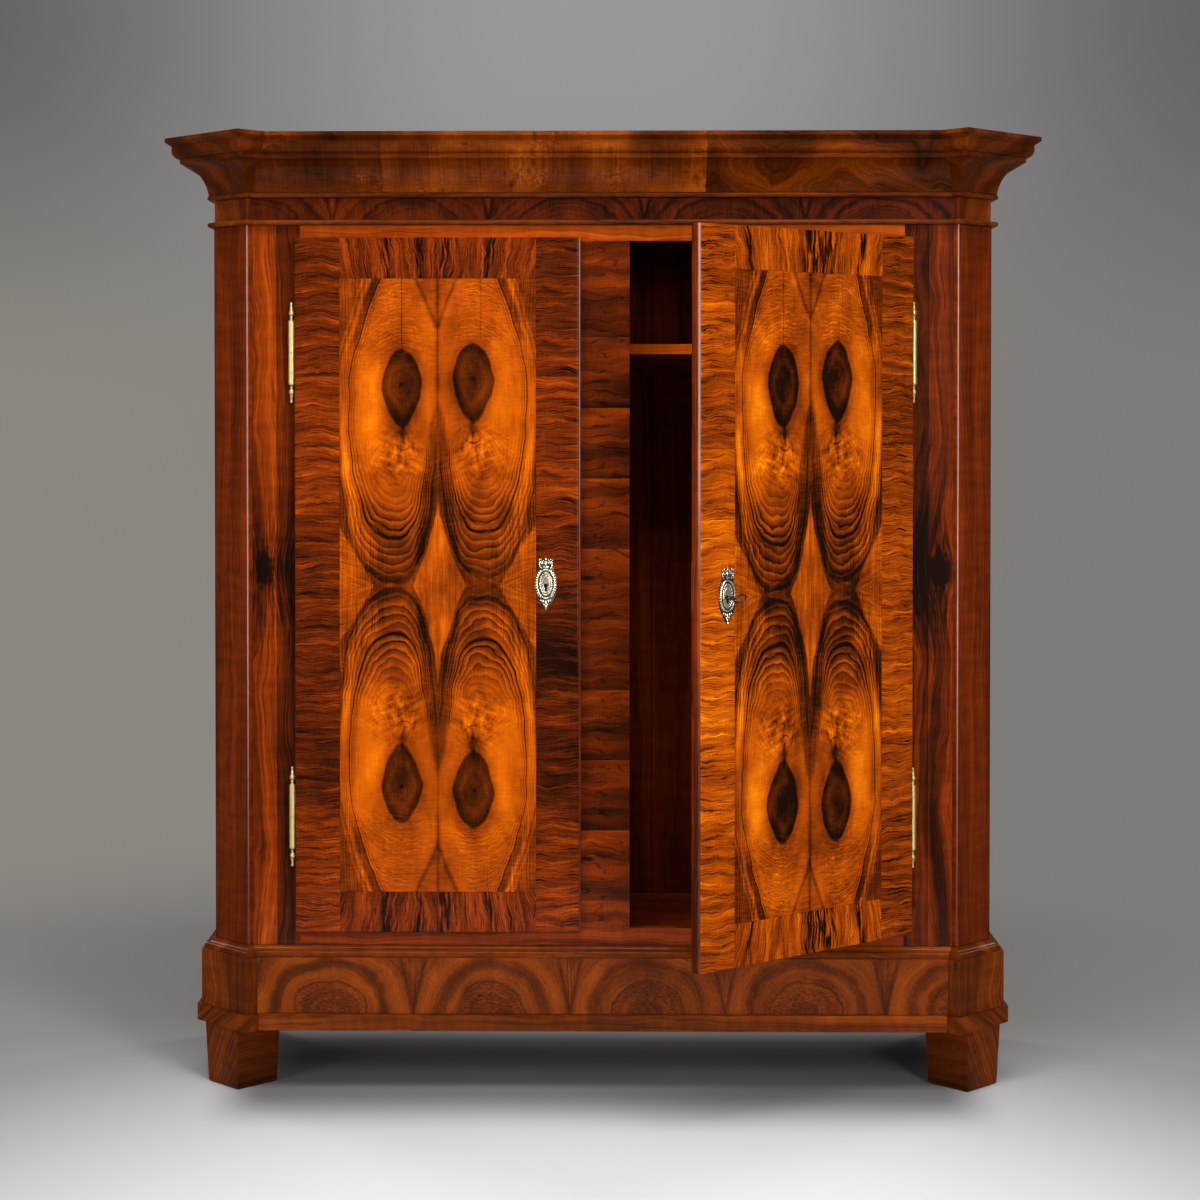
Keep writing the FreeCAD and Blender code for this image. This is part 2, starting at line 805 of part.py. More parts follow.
def interior():
    """The hat shelf on its bearers, and a peg rail on each side wall."""
    shelf_top = case_top_z - S.deck_thickness - S.hat_space
    shelf_z = (shelf_top - S.shelf_thickness, shelf_top)
    shelf_x = inside_x - S.shelf_end_gap
    finish("hat_shelf", box((-shelf_x, shelf_x), (S.shelf_setback, back_face_y), shelf_z))
    bearer_z = (shelf_z[0] - S.bearer_height, shelf_z[0])
    bearer_x = inside_x - S.bearer_thickness
    bearers = []
    for side in SIDES.values():
        side_y = (S.shelf_setback + S.bearer_end_gap, back_face_y)
        bearers.append(box((side * bearer_x, side * inside_x), side_y, bearer_z))
    rear_y = (back_face_y - S.bearer_thickness, back_face_y)
    bearers.append(box((-bearer_x, bearer_x), rear_y, bearer_z))
    finish("shelf_bearers", group(*bearers))
    rail_top = bearer_z[0] - S.peg_rail_drop
    rail_z = (rail_top - S.peg_rail_width, rail_top)
    rail_y = (S.peg_rail_setback, back_face_y - S.peg_rail_back_gap)
    rail_face_x = inside_x - S.peg_rail_thickness
    peg_pitch = (rail_y[1] - rail_y[0]) / PEGS
    for word, side in SIDES.items():
        rail = box((side * rail_face_x, side * inside_x), rail_y, rail_z)
        pegs = []
        for i in range(PEGS):
            peg_y = rail_y[0] + peg_pitch * (i + 0.5)
            pegs.append(peg(side, rail_face_x, peg_y, (rail_z[0] + rail_z[1]) / 2))
        finish("peg_rail_" + word, fuse(rail, *pegs))


def peg(side, face_x, y, z):
    """A peg with a button head, standing out from its rail and tipped upwards."""
    sink = S.peg_rail_thickness / 2
    whole = S.peg_length + sink
    rounds = []
    for radius, start in ((S.peg_neck_radius, size(0)), (S.peg_head_radius, whole - S.peg_head_length)):
        length = doc.addObject("Part::Prism", "Peg")
        length.Polygon = TURNED_SIDES
        bind(length, "Circumradius", radius)
        bind(length, "Height", whole - start)
        place(length, 0, 0, start)
        rounds.append(length)
    turned = fuse(*rounds)
    lean = -side * (90 - S.peg_tilt)
    turned.Placement = Placement(Vector(0, 0, 0), Rotation(Vector(0, 1, 0), lean.value))
    bind(turned, "Placement.Rotation.Angle", lean)
    place(turned, side * (face_x + sink * cosine(S.peg_tilt)), y, z - sink * sine(S.peg_tilt))
    return turned


def cornice():
    """The frieze, the board behind it and the dust board."""
    front_x, front_y = inner_corner(-S.frieze_in)
    thickness = S.front_thickness
    frieze_range = (frieze_z, frieze_top_z)
    finish("frieze_front", box((-front_x, front_x), (front_y, front_y + thickness), frieze_range))
    for word, side in SIDES.items():
        plan = mirror_plan(side, corner_run(-S.frieze_in, thickness))
        finish("frieze_" + word, board_outline("Frieze", plan, frieze_z, S.frieze_height))
    frieze_x = case_half_width - S.frieze_in - thickness
    back_y = (S.case_depth - S.cornice_board_thickness, S.case_depth)
    dust_top = crown_top_z - S.dust_board_drop
    dust_z = dust_top - S.dust_board_thickness
    side_x, side_y = side_corner(-S.moulding_back)
    finish("cornice_back", notched((-side_x, side_x), back_y, (case_top_z, dust_z), frieze_x, frieze_range))
    nose_x, nose_y = nose(-S.moulding_back)
    inner_x, inner_y = inner_corner(-S.moulding_back)
    dust = [
        (-side_x, S.case_depth), (-side_x, side_y), (-nose_x, nose_y), (-inner_x, inner_y),
        (inner_x, inner_y), (nose_x, nose_y), (side_x, side_y), (side_x, S.case_depth),
    ]
    finish("dust_board", board_outline("Dust", dust, dust_z, S.dust_board_thickness))


# Doors
bolt_y = door_back_y + S.lock_depth / 2
bolt_throw = 2 * S.key_bit_radius * sine(S.key_rest_angle)


def bolt_heights():
    return lock_z - S.bolt_pitch / 2, lock_z + S.bolt_pitch / 2


def hinge_joints():
    return case_z + S.lower_hinge_rise, case_top_z - S.upper_hinge_drop


def keyhole(side, y, name="Keyhole"):
    """A round hole with a slot under it, through whatever lies between two depths."""
    x = side * escutcheon_x
    half = S.key_slot_width / 2
    slot = box((x - half, x + half), y, (key_z - S.key_slot_drop, key_z), name)
    return fuse(across_y(S.key_hole_radius, x, y, key_z, name), slot)


def hinge_leaf_in_stile(side, joint_z, gap):
    """The frame half's leaf, or with a gap the slot that takes it."""
    half = S.hinge_leaf_thickness / 2 + gap
    top = joint_z - S.hinge_leaf_inset + gap
    leaf_y = (hinge_y, S.hinge_leaf_in_stile + gap)
    leaf_z = (top - S.hinge_leaf_length - gap * 2, top)
    return box((side * hinge_x - half, side * hinge_x + half), leaf_y, leaf_z, "Leaf")


def hinge_leaf_in_door(side, joint_z, gap):
    """The door half's leaf, or with a gap the slot that takes it."""
    half = S.hinge_leaf_thickness / 2 + gap
    bottom = joint_z + S.hinge_ring_height + S.hinge_play + S.hinge_leaf_inset - gap
    tip_x = door_hinge_x - S.hinge_leaf_in_door - gap
    leaf_z = (bottom, bottom + S.hinge_leaf_length + gap * 2)
    return box((side * hinge_x, side * tip_x), (hinge_y - half, hinge_y + half), leaf_z, "Leaf")


def door(word, side):
    """The door leaf: flush in front, two sunk panels inside, its free edge rounded."""
    body = new_body("Door")
    x0, x1 = side * door_free_x, side * door_hinge_x
    face = [(x0, door_z), (x1, door_z), (x1, door_top_z), (x0, door_top_z)]
    slab = pad(body, sketch_in(body, "XZ_Plane", S.door_gap, face), S.door_thickness)
    rounded = fillet(body, slab, upright_at(x0, door_face_y), S.door_round)
    bevel(body, rounded, at_depth(door_face_y, x0 + side * S.door_round), S.door_edge_bevel)
    inner0 = side * (door_free_x + S.door_panel_border)
    inner1 = side * (door_hinge_x - S.door_panel_border)
    half_rail = S.door_panel_lock_rail / 2
    low = (door_z + S.door_panel_border, lock_z - half_rail)
    high = (lock_z + half_rail, door_top_z - S.door_panel_border)
    panels = [[(inner0, z[0]), (inner1, z[0]), (inner1, z[1]), (inner0, z[1])] for z in (low, high)]
    pocket(body, sketch_in(body, "XZ_Plane", S.door_gap, *panels), S.door_panel_depth, True)
    slots = [hinge_leaf_in_door(side, z, S.slot_gap) for z in hinge_joints()]
    through = (door_face_y - S.door_gap, size(0))
    leaf = cut(body, keyhole(side, through), *slots)
    finish(word + "_door", leaf, door_swing(side))


def at_depth(y, beyond_x):
    """A test for the straight edges in the door's front face, other than the one at its rounding."""
    def test(edge):
        flat = all(abs(v.Y - y.value) < TOLERANCE for v in edge.Vertexes)
        return flat and not upright_at(beyond_x, y)(edge)

    return test


def oval(x, z, half_x, half_z, y, depth):
    """An upright oval plate standing out towards the front from y."""
    ring = doc.addObject("Part::Ellipse", "Oval")
    bind(ring, "MajorRadius", half_z)
    bind(ring, "MinorRadius", half_x)
    ring.Placement = Placement(Vector(0, 0, 0), Rotation(Vector(0, 0, 1), Vector(1, 0, 0), Vector(0, 1, 0), "ZXY"))
    place(ring, x, y, z)
    plate = doc.addObject("Part::Extrusion", "Oval")
    plate.Base = ring
    plate.Dir = Vector(0, -1, 0)
    plate.Solid = True
    bind(plate, "LengthFwd", depth)
    return plate


# The ovals of the escutcheon's outline, as shares of its half width and half height:
# centre across, centre up, half width, half height
ESCUTCHEON_OUTLINE_SHARES = [
    (0, -0.05, 1.0, 0.56),
    (0, 0.56, 0.6, 0.24),
    (0, 0.84, 0.14, 0.16),
    (-0.4, 0.74, 0.16, 0.14),
    (0.4, 0.74, 0.16, 0.14),
    (0, -0.7, 0.42, 0.3),
]
ESCUTCHEON_BOSS_SHARES = (0.62, 0.4)
ESCUTCHEON_PIERCING_SHARES = [(-0.2, 0.58, 0.1, 0.05), (0.2, 0.58, 0.1, 0.05)]


def escutcheon(word, side):
    x = side * escutcheon_x
    z = key_z + S.key_hole_drop
    wide, tall = S.escutcheon_half_width, S.escutcheon_half_height
    plate = [
        oval(x + wide * a, z + tall * b, wide * c, tall * d, door_face_y, S.escutcheon_plate)
        for a, b, c, d in ESCUTCHEON_OUTLINE_SHARES
    ]
    middle = z + tall * ESCUTCHEON_OUTLINE_SHARES[0][1]
    c, d = ESCUTCHEON_BOSS_SHARES
    boss_depth = S.escutcheon_plate + S.escutcheon_boss_rise
    body = fuse(*plate, oval(x, middle, wide * c, tall * d, door_face_y, boss_depth))
    piercings = [
        oval(x + wide * a, z + tall * b, wide * c, tall * d, door_face_y, boss_depth)
        for a, b, c, d in ESCUTCHEON_PIERCING_SHARES
    ]
    front = door_face_y - boss_depth - S.door_gap
    entry = keyhole(side, (front, door_back_y))
    finish(word + "_escutcheon", cut(body, entry, *piercings), door_swing(side))


def lock(word, side):
    """A box lock screwed to the inside of the door: case with forend, and the bolt that slides in it."""
    start = S.post_half_width + S.lock_start
    inner = start + S.forend_thickness
    end = start + S.lock_length
    lock_y = (door_back_y, door_back_y + S.lock_depth)
    half_forend = S.forend_height / 2
    half_case = S.lock_height / 2
    forend = box((side * start, side * inner), lock_y, (lock_z - half_forend, lock_z + half_forend))
    shell = box((side * inner, side * end), lock_y, (lock_z - half_case, lock_z + half_case))
    wall = S.lock_wall
    hollow_y = (lock_y[0] + wall, lock_y[1] - wall)
    hollow_z = (lock_z - half_case + wall, lock_z + half_case - wall)
    hollow = box((side * inner, side * (end - wall)), hollow_y, hollow_z)
    half_hole = S.bolt_size / 2 + S.bolt_fit
    hole_y = (bolt_y - half_hole, bolt_y + half_hole)
    holes = [
        box((side * start, side * inner), hole_y, (z - half_hole, z + half_hole))
        for z in bolt_heights()
    ]
    entry = keyhole(side, (lock_y[0], lock_y[0] + wall))
    pin_y = (hollow_y[1] - S.lock_pin_length, lock_y[1] - wall / 2)
    pin = across_y(S.lock_pin_radius, side * escutcheon_x, pin_y, key_z, "Pin")
    lock_case = fuse(cut(fuse(forend, shell), hollow, entry, *holes), pin)
    finish(word + "_lock_case", lock_case, door_swing(side))

    tip = start + S.bolt_rest_depth
    head_end = tip + S.bolt_head_length
    half = S.bolt_size / 2
    head_y = (bolt_y - half, bolt_y + half)
    heads = [box((side * tip, side * head_end), head_y, (z - half, z + half)) for z in bolt_heights()]
    plate_y = (bolt_y - S.bolt_plate_thickness / 2, bolt_y + S.bolt_plate_thickness / 2)
    low_z, high_z = bolt_heights()
    bar = box((side * (head_end - S.bolt_bar_width), side * head_end), plate_y, (low_z - half, high_z + half))
    tail_z = key_z + S.bolt_tail_lift
    tail_x = (side * (head_end - S.bolt_bar_width), side * (tip + S.bolt_tail_length))
    tail = box(tail_x, plate_y, (tail_z, tail_z + S.bolt_tail_height))
    notch_x = escutcheon_x + S.key_bit_radius * sine(S.key_rest_angle)
    half_notch = S.bolt_notch_width / 2
    notch_top = key_z + S.key_bit_radius + S.bolt_notch_gap
    notch = box((side * (notch_x - half_notch), side * (notch_x + half_notch)), plate_y, (tail_z, notch_top))
    finish(word + "_lock_bolt", cut(fuse(*heads, bar, tail), notch), door_swing(side))


def key():
    """The key in the right lock: an oval bow, a collared shank and a bit turned to the hinge side.

    The shank is bored to run on the pin that stands in the lock."""
    x = escutcheon_x
    lock_back_y = door_back_y + S.lock_depth - S.lock_wall
    end_y = lock_back_y - S.key_end_gap
    bore_y = (lock_back_y - S.lock_pin_length - S.key_end_gap, end_y)
    bore = across_y(S.lock_pin_radius + S.lock_pin_fit, x, bore_y, key_z)
    bow_y = door_face_y - S.key_bow_out
    shank = across_y(S.key_shank_radius, x, (bow_y + S.key_bow_long, end_y), key_z)
    collar_y = door_face_y - S.escutcheon_plate - S.escutcheon_boss_rise - S.key_collar_out
    collar = across_y(S.key_collar_radius, x, (collar_y, collar_y + S.key_collar_length), key_z)
    bit_y = (bolt_y - S.key_bit_width / 2, bolt_y + S.key_bit_width / 2)
    half = S.key_bit_thickness / 2
    bit = box((-half, half), bit_y, (size(0), S.key_bit_radius))
    bow = cut(bow_plate(bow_y, S.key_bow_wire), bow_plate(bow_y, -S.key_bow_wire))
    turned = fuse(bit, bow)
    turned.Placement = Placement(Vector(0, 0, 0), Rotation(Vector(0, 1, 0), S.key_rest_angle.value))
    bind(turned, "Placement.Rotation.Angle", S.key_rest_angle)
    place(turned, x, 0, key_z)
    finish("key", cut(fuse(shank, collar, turned), bore), S.swing_angle)


def bow_plate(y, beyond):
    """An oval plate on the key's own plane, this far beyond the middle line of its bow."""
    edge = doc.addObject("Part::Ellipse", "Bow")
    bind(edge, "MajorRadius", S.key_bow_long + beyond)
    bind(edge, "MinorRadius", S.key_bow_short + beyond)
    edge.Placement = Placement(Vector(0, 0, 0), Rotation(Vector(0, 1, 0), Vector(0, 0, 1), Vector(1, 0, 0), "ZXY"))
    place(edge, -S.key_bow_wire, y, 0)
    plate = doc.addObject("Part::Extrusion", "Bow")
    plate.Base = edge
    plate.Dir = Vector(1, 0, 0)
    plate.Solid = True
    bind(plate, "LengthFwd", S.key_bow_wire * 2)
    return plate


# A finial's turned outline: shares of the barrel's radius, shares of the finial's length
FINIAL_SHARES = [(1.0, 0), (0.55, 0.14), (0.92, 0.32), (0.46, 0.52), (0.7, 0.68), (0.24, 1.0)]


def finial(side, z, direction):
    """A turned finial that ends a barrel, up or down, its round in flats to keep its mesh light."""
    sections = []
    for radius_share, length_share in FINIAL_SHARES:
        section = doc.addObject("Part::RegularPolygon", "Section")
        section.Polygon = TURNED_SIDES
        bind(section, "Circumradius", S.barrel_radius * radius_share)
        place(section, side * hinge_x, hinge_y, z + direction * S.finial_length * length_share)
        sections.append(section)
    turned = doc.addObject("Part::Loft", "Finial")
    turned.Sections = sections
    turned.Solid = True
    turned.Ruled = True
    return turned


def hinges():
    """Lift-off barrel hinges: the frame half carries the pin, the door half drops over it."""
    rings = []
    for word, side in SIDES.items():
        x = side * hinge_x
        frame_halves = []
        door_halves = []
        for joint_z in hinge_joints():
            barrel = cylinder(S.barrel_radius, x, hinge_y, (joint_z - S.barrel_length, joint_z))
            pin = cylinder(S.hinge_pin_radius, x, hinge_y, (joint_z - S.hinge_pin_length, joint_z + S.hinge_pin_length))
            leaf = hinge_leaf_in_stile(side, joint_z, size(0))
            low_finial = finial(side, joint_z - S.barrel_length, -1)
            frame_halves.append(fuse(barrel, pin, leaf, low_finial))
            ring_z = (joint_z, joint_z + S.hinge_ring_height)
            ring = cylinder(S.barrel_radius + S.hinge_ring_lip, x, hinge_y, ring_z)
            ring_bore = cylinder(S.hinge_pin_radius + S.hinge_pin_fit, x, hinge_y, ring_z)
            rings.append(cut(ring, ring_bore))
            upper_z = ring_z[1] + S.hinge_play
            upper = cylinder(S.barrel_radius, x, hinge_y, (upper_z, upper_z + S.barrel_length))
            bore_top = joint_z + S.hinge_pin_length + S.hinge_play
            bore = cylinder(S.hinge_pin_radius + S.hinge_pin_fit, x, hinge_y, (upper_z, bore_top))
            door_leaf = hinge_leaf_in_door(side, joint_z, size(0))
            high_finial = finial(side, upper_z + S.barrel_length, 1)
            door_halves.append(cut(fuse(upper, door_leaf, high_finial), bore))
        finish(word + "_hinge_pins", group(*frame_halves))
        finish(word + "_hinge_barrels", group(*door_halves), door_swing(side))
    finish("hinge_rings", group(*rings))


def build():
    feet()
    base()
    mouldings()
    case()
    strikes()
    interior()
    cornice()
    for word, side in SIDES.items():
        door(word, side)
        escutcheon(word, side)
        lock(word, side)
    key()
    hinges()
    doc.recompute()


def check_and_export():
    """Stops on any failed object or bad shape, then writes one file per piece."""
    failed = [o.Name for o in doc.Objects if "Invalid" in o.State or "Error" in o.State]
    if failed:
        raise RuntimeError("failed objects: %s" % failed)
    os.makedirs("parts", exist_ok=True)
    for piece in finished:
        shape = piece.Shape
        if shape.isNull() or not shape.isValid() or not shape.Solids:
            raise RuntimeError("bad shape: %s" % piece.Label)
    for piece in finished:
        piece.Shape.exportStep(os.path.join("parts", piece.Label + ".step"))
    print(len(finished), "pieces written")


build()
check_and_export()
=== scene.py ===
import json
import math

import bmesh
import bpy
from mathutils import Matrix, Vector

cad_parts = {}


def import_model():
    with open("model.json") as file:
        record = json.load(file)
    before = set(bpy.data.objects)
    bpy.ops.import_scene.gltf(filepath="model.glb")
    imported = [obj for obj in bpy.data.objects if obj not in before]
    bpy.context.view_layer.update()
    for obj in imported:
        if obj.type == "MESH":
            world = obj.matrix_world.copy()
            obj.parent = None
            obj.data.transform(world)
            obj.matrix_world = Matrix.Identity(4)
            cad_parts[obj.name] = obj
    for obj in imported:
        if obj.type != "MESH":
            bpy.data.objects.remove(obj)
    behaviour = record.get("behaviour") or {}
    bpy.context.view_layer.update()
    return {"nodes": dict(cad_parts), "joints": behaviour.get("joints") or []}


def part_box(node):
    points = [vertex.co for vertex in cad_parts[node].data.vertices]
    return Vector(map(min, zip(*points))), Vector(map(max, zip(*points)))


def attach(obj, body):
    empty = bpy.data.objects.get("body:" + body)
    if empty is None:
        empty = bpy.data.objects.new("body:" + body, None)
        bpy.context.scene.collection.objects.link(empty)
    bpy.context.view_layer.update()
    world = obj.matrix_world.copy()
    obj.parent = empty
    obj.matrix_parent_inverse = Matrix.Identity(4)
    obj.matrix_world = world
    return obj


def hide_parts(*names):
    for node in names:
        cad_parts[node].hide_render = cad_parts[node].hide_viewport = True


# Looks of the two-door wardrobe. Blender works in metres and the shapes here are written in
# millimetres, in the frame of the CAD model: +Z up, the front faces -Y.

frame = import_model()
NODES = frame["nodes"]
JOINTS = {joint["name"]: joint for joint in frame["joints"]}
MM = 0.001
LEFT, RIGHT = -1, 1
SIDES = {"left": LEFT, "right": RIGHT}


def node_box(name):
    """Lowest and highest corner of a CAD node, in millimetres."""
    return [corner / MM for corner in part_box(name)]


# Places that the looks need, read from the frame
HINGE_AXIS = Vector(JOINTS["right_door_hinge"]["pos_m"])
SWING = math.radians(-JOINTS["right_door_hinge"]["range_deg"][0])
SWUNG = (
    Matrix.Translation(HINGE_AXIS) @ Matrix.Rotation(SWING, 4, "Z") @ Matrix.Translation(-HINGE_AXIS)
)
HINGE_X, HINGE_Y = HINGE_AXIS.x / MM, HINGE_AXIS.y / MM
FACE_Y = node_box("stile_left")[0].y
door_low, door_high = node_box("left_door")
DOOR_IN_X, DOOR_OUT_X = -door_high.x, -door_low.x
DOOR_Z, DOOR_TOP_Z = door_low.z, door_high.z
DOOR_FRONT_Y = door_low.y
DOOR_MID_X = (DOOR_IN_X + DOOR_OUT_X) / 2
DOOR_MID_Z = (DOOR_Z + DOOR_TOP_Z) / 2


# Colours

def screen(red, green, blue):
    """A colour given as it looks on screen, 0 to 255, as the linear values of a shader."""
    def linear(level):
        share = level / 255
        return share / 12.92 if share <= 0.04045 else ((share + 0.055) / 1.055) ** 2.4

    return linear(red), linear(green), linear(blue), 1


def operator(kind, swapped=False):
    """An operator of Num, which adds a node that does the sum."""
    def write(self, other):
        pair = (other, self) if swapped else (self, other)
        return self.paint.math(kind, *pair)

    return write


class Num:
    """A number that varies over a surface: one output in a node tree."""

    def __init__(self, paint, socket):
        self.paint = paint
        self.socket = socket

    def __abs__(self):
        return self.paint.math("ABSOLUTE", self)

    __add__ = __radd__ = operator("ADD")
    __mul__ = __rmul__ = operator("MULTIPLY")
    __sub__ = operator("SUBTRACT")
    __rsub__ = operator("SUBTRACT", swapped=True)
    __truediv__ = operator("DIVIDE")
    __pow__ = operator("POWER")


class Graph:
    """Writes sums as nodes of a material or of the world."""

    def __init__(self, tree):
        self.tree = tree

    def node(self, kind, feeds=(), **settings):
        """Adds a shader node. feeds says what goes into each input, by its name or number."""
        made = self.tree.nodes.new("ShaderNode" + kind)
        for name, setting in settings.items():
            setattr(made, name, setting)
        for place, source in dict(feeds).items():
            self.feed(made.inputs[place], source)
        return made

    def feed(self, socket, source):
        """Links a socket, or sets its value where the source is a plain number or colour."""
        if isinstance(source, Num):
            self.tree.links.new(source.socket, socket)
        elif isinstance(source, bpy.types.NodeSocket):
            self.tree.links.new(source, socket)
        else:
            socket.default_value = source

    def math(self, operation, *inputs, clamp=False):
        made = self.node("Math", enumerate(inputs), operation=operation, use_clamp=clamp)
        return Num(self, made.outputs[0])

    def floor(self, number):
        return self.math("FLOOR", number)

    def fract(self, number):
        return self.math("FRACT", number)

    def most(self, first, second):
        return self.math("MAXIMUM", first, second)

    def clamp(self, number):
        return self.math("ADD", number, 0, clamp=True)

    def step(self, number, low, high):
        """A smooth step: 0 below low, 1 above high. With high below low it falls."""
        start, end = (1, 0) if high < low else (0, 1)
        feeds = {
            "Value": number, "From Min": min(low, high), "From Max": max(low, high),
            "To Min": start, "To Max": end,
        }
        made = self.node("MapRange", feeds, interpolation_type="SMOOTHSTEP")
        return Num(self, made.outputs[0])

    def near(self, number, target, width):
        """1 at the target, falling smoothly to 0 at a width from it."""
        return self.step(abs(number - target), width, 0)

    def point(self, x, y, z):
        return self.node("CombineXYZ", enumerate((x, y, z))).outputs[0]

    def split(self, vector):
        made = self.node("SeparateXYZ", {0: vector})
        return [Num(self, output) for output in made.outputs]

    def noise(self, x, y, z=0.0, detail=2.0, rough=0.5):
        """Smooth noise about 0, mostly within -0.5 and 0.5."""
        feeds = {"Vector": self.point(x, y, z), "Scale": 1, "Detail": detail, "Roughness": rough}
        return (Num(self, self.node("TexNoise", feeds).outputs[0]) - 0.5) * 2

    def lines(self, x, y, z, width):
        """Thin winding lines, where a noise passes through nought."""
        return self.step(abs(self.noise(x, y, z, detail=1)), width, 0)

    def chance(self, number, seed=0.0):
        """One random value from 0 to 1 for each whole number."""
        feeds = {"Vector": self.point(number, seed, 0.0)}
        made = self.node("TexWhiteNoise", feeds, noise_dimensions="2D")
        return Num(self, made.outputs["Value"])

    def ramp(self, number, *stops):
        made = self.node("ValToRGB", {"Fac": number})
        elements = made.color_ramp.elements
        while len(elements) < len(stops):
            elements.new(0.5)
        for element, (place, colour) in zip(elements, stops):
            element.position = place
            element.color = colour
        return made.outputs["Color"]

    def mix(self, share, first, second, kind="MIX"):
        """Colour that goes from the first to the second as the share goes from 0 to 1."""
        # inputs 6 and 7 and output 2 of the node are the ones for colours
        feeds = {0: share, 6: first, 7: second}
        return self.node("Mix", feeds, data_type="RGBA", blend_type=kind).outputs[2]

    def shade(self, colour, amount):
        """Darkens a colour where the amount is below 1, and brightens it above."""
        return self.mix(1.0, colour, self.point(amount, amount, amount), "MULTIPLY")

    def join(self, share, first, second):
        """One shader where the share is 0, the other where it is 1."""
        return self.node("MixShader", enumerate((share, first, second))).outputs[0]

    def rays(self, *kinds):
        """1 for a ray of any of these kinds."""
        made = self.node("LightPath")
        total = Num(self, made.outputs[kinds[0]])
        for kind in kinds[1:]:
            total = total + Num(self, made.outputs[kind])
        return self.clamp(total)


class Paint(Graph):
    """A material in the making. x, y and z are millimetres in the layout of the closed wardrobe,
    with y = 0 at the face of the stiles."""

    def __init__(self, name, swings=False):
        self.material = bpy.data.materials.new(name)
        self.material.use_nodes = True
        super().__init__(self.material.node_tree)
        self.shader = self.tree.nodes["Principled BSDF"]
        place = self.node("TexCoord").outputs["Object"]
        if swings:
            feeds = {"Vector": place, "Center": HINGE_AXIS, "Angle": -SWING}
            place = self.node("VectorRotate", feeds, rotation_type="Z_AXIS").outputs["Vector"]
        x, y, z = self.split(place)
        self.x = x / MM
        self.y = y / MM - FACE_Y
        self.z = z / MM

    def bump(self, height, depth, arris=0.0):
        """Raises the surface by a height from 0 to 1, over a depth in millimetres, and eases
        its arrises by a radius."""
        feeds = {"Strength": 1, "Distance": depth * MM, "Height": height}
        if arris:
            feeds["Normal"] = self.node("Bevel", {"Radius": arris * MM}, samples=4).outputs[0]
        self.feed(self.shader.inputs["Normal"], self.node("Bump", feeds).outputs[0])

    def set(self, **values):
        for name, setting in values.items():
            self.feed(self.shader.inputs[name.replace("_", " ")], setting)

    def wear(self, target):
        """Puts the material on a CAD node or on a piece."""
        slots = target.data.materials
        if not slots:
            slots.append(self.material)
        for i in range(len(slots)):
            slots[i] = self.material


# Wood

def wood(*stops):
    """The stops of a ramp, each a tone with its red, green and blue on screen."""
    return [(tone, screen(*colour)) for tone, *colour in stops]


WALNUT = wood(
    (0.0, 20, 6, 1), (0.18, 50, 16, 2), (0.38, 90, 30, 3), (0.56, 131, 48, 4), (0.76, 174, 72, 6),
    (1.0, 214, 102, 14),
)
GOLDEN = wood(
    (0.0, 24, 8, 1), (0.16, 68, 24, 1), (0.34, 112, 42, 2), (0.52, 160, 66, 3), (0.7, 206, 95, 3),
    (0.86, 240, 132, 8), (1.0, 255, 176, 34),
)
BROWN = wood(
    (0.0, 20, 8, 1), (0.18, 47, 18, 2), (0.38, 84, 33, 3), (0.56, 122, 52, 5), (0.76, 162, 77, 9),
    (1.0, 204, 110, 20),
)
# Pale tint of the highlight painted along some arrises
HIGHLIGHT_COLOUR = screen(214, 186, 176)


def polish(p, colour, height, depth=0.05, gloss=0.15, arris=1.5, rough=0.45, painted_highlight=None):
    """Shellac over the wood. The highlight share, if given, is 1 where a pale highlight line is painted along
    an arris; there the coat is glossier too.
    """
    if painted_highlight:
        # painted highlight: the colour goes halfway to the pale tint where the share is 1, and the coat is
        # made glossier there
        colour = p.mix(painted_highlight * 0.5, colour, HIGHLIGHT_COLOUR)
        gloss = p.clamp(painted_highlight * (1 - gloss) + gloss)
    p.set(Base_Color=colour, Roughness=rough, Specular_IOR_Level=0.01)
    p.set(Coat_Weight=gloss, Coat_Roughness=0.09)
    p.bump(height, depth, arris)


def walnut(p, along, across, seed, size=1.0, wander=30, force=1.0):
    """Tone of straight-grained walnut, about 0.5."""
    path = across + p.noise(along / 320, across / 150, seed) * wander
    path = path + p.noise(along / 70, across / 40, seed + 1) * 5
    bands = p.noise(along / 900 + across / 173, path / (40 * size), seed + 2, detail=3)
    threads = p.noise(along / 600 + across / 97, path / (6 * size), seed + 3, detail=4, rough=0.7)
    growth = p.lines(along / 700 + across / 113, path / (15 * size), seed + 4, 0.05)
    fine = p.noise(along / 50, path / 1.2, seed + 5)
    silk = p.noise(along / 20, across / 80, seed + 6)
    return 0.5 + (bands * 0.55 + threads * 0.34 - growth * 0.14) * force + fine * 0.13 + silk * 0.1


def pores(p, along, across, seed):
    """Short dark dashes along the grain."""
    return p.step(p.noise(along / 14, across / 0.8, seed, detail=1), 0.26, 0.5)


def knot(p, across, along, centre, half_across, half_along):
    """A knot: how far it pushes the grain aside, and where it is dark."""
    aside = (across - centre[0]) / half_across
    beyond = (along - centre[1]) / half_along
    push = (p.step(aside, -1.6, 1.6) - 0.5) * p.near(beyond, 0, 3.0) * (half_across * -1.6)
    away = (aside * aside + beyond * beyond) ** 0.5 + p.noise(across / 9, along / 14, 2.0) * 0.7
    return push, p.step(away, 1.25, 0.35)


def veneer(name, tone, seed, palette=WALNUT, painted_highlight=None, **finish):
    """A polished piece. tone works out its tone from a paint; the highlight function, if given, works out
    where a pale highlight is painted along an arris.
    """
    p = Paint(name)
    depth = tone(p)
    hole = pores(p, p.z, p.x + p.y * 0.8, seed) * 0.12
    # where a pale highlight is painted along an arris
    highlight_share = painted_highlight(p) if painted_highlight else None
    polish(p, p.ramp(depth - hole, *palette), depth * 0.5 - hole, painted_highlight=highlight_share, **finish)
    return p


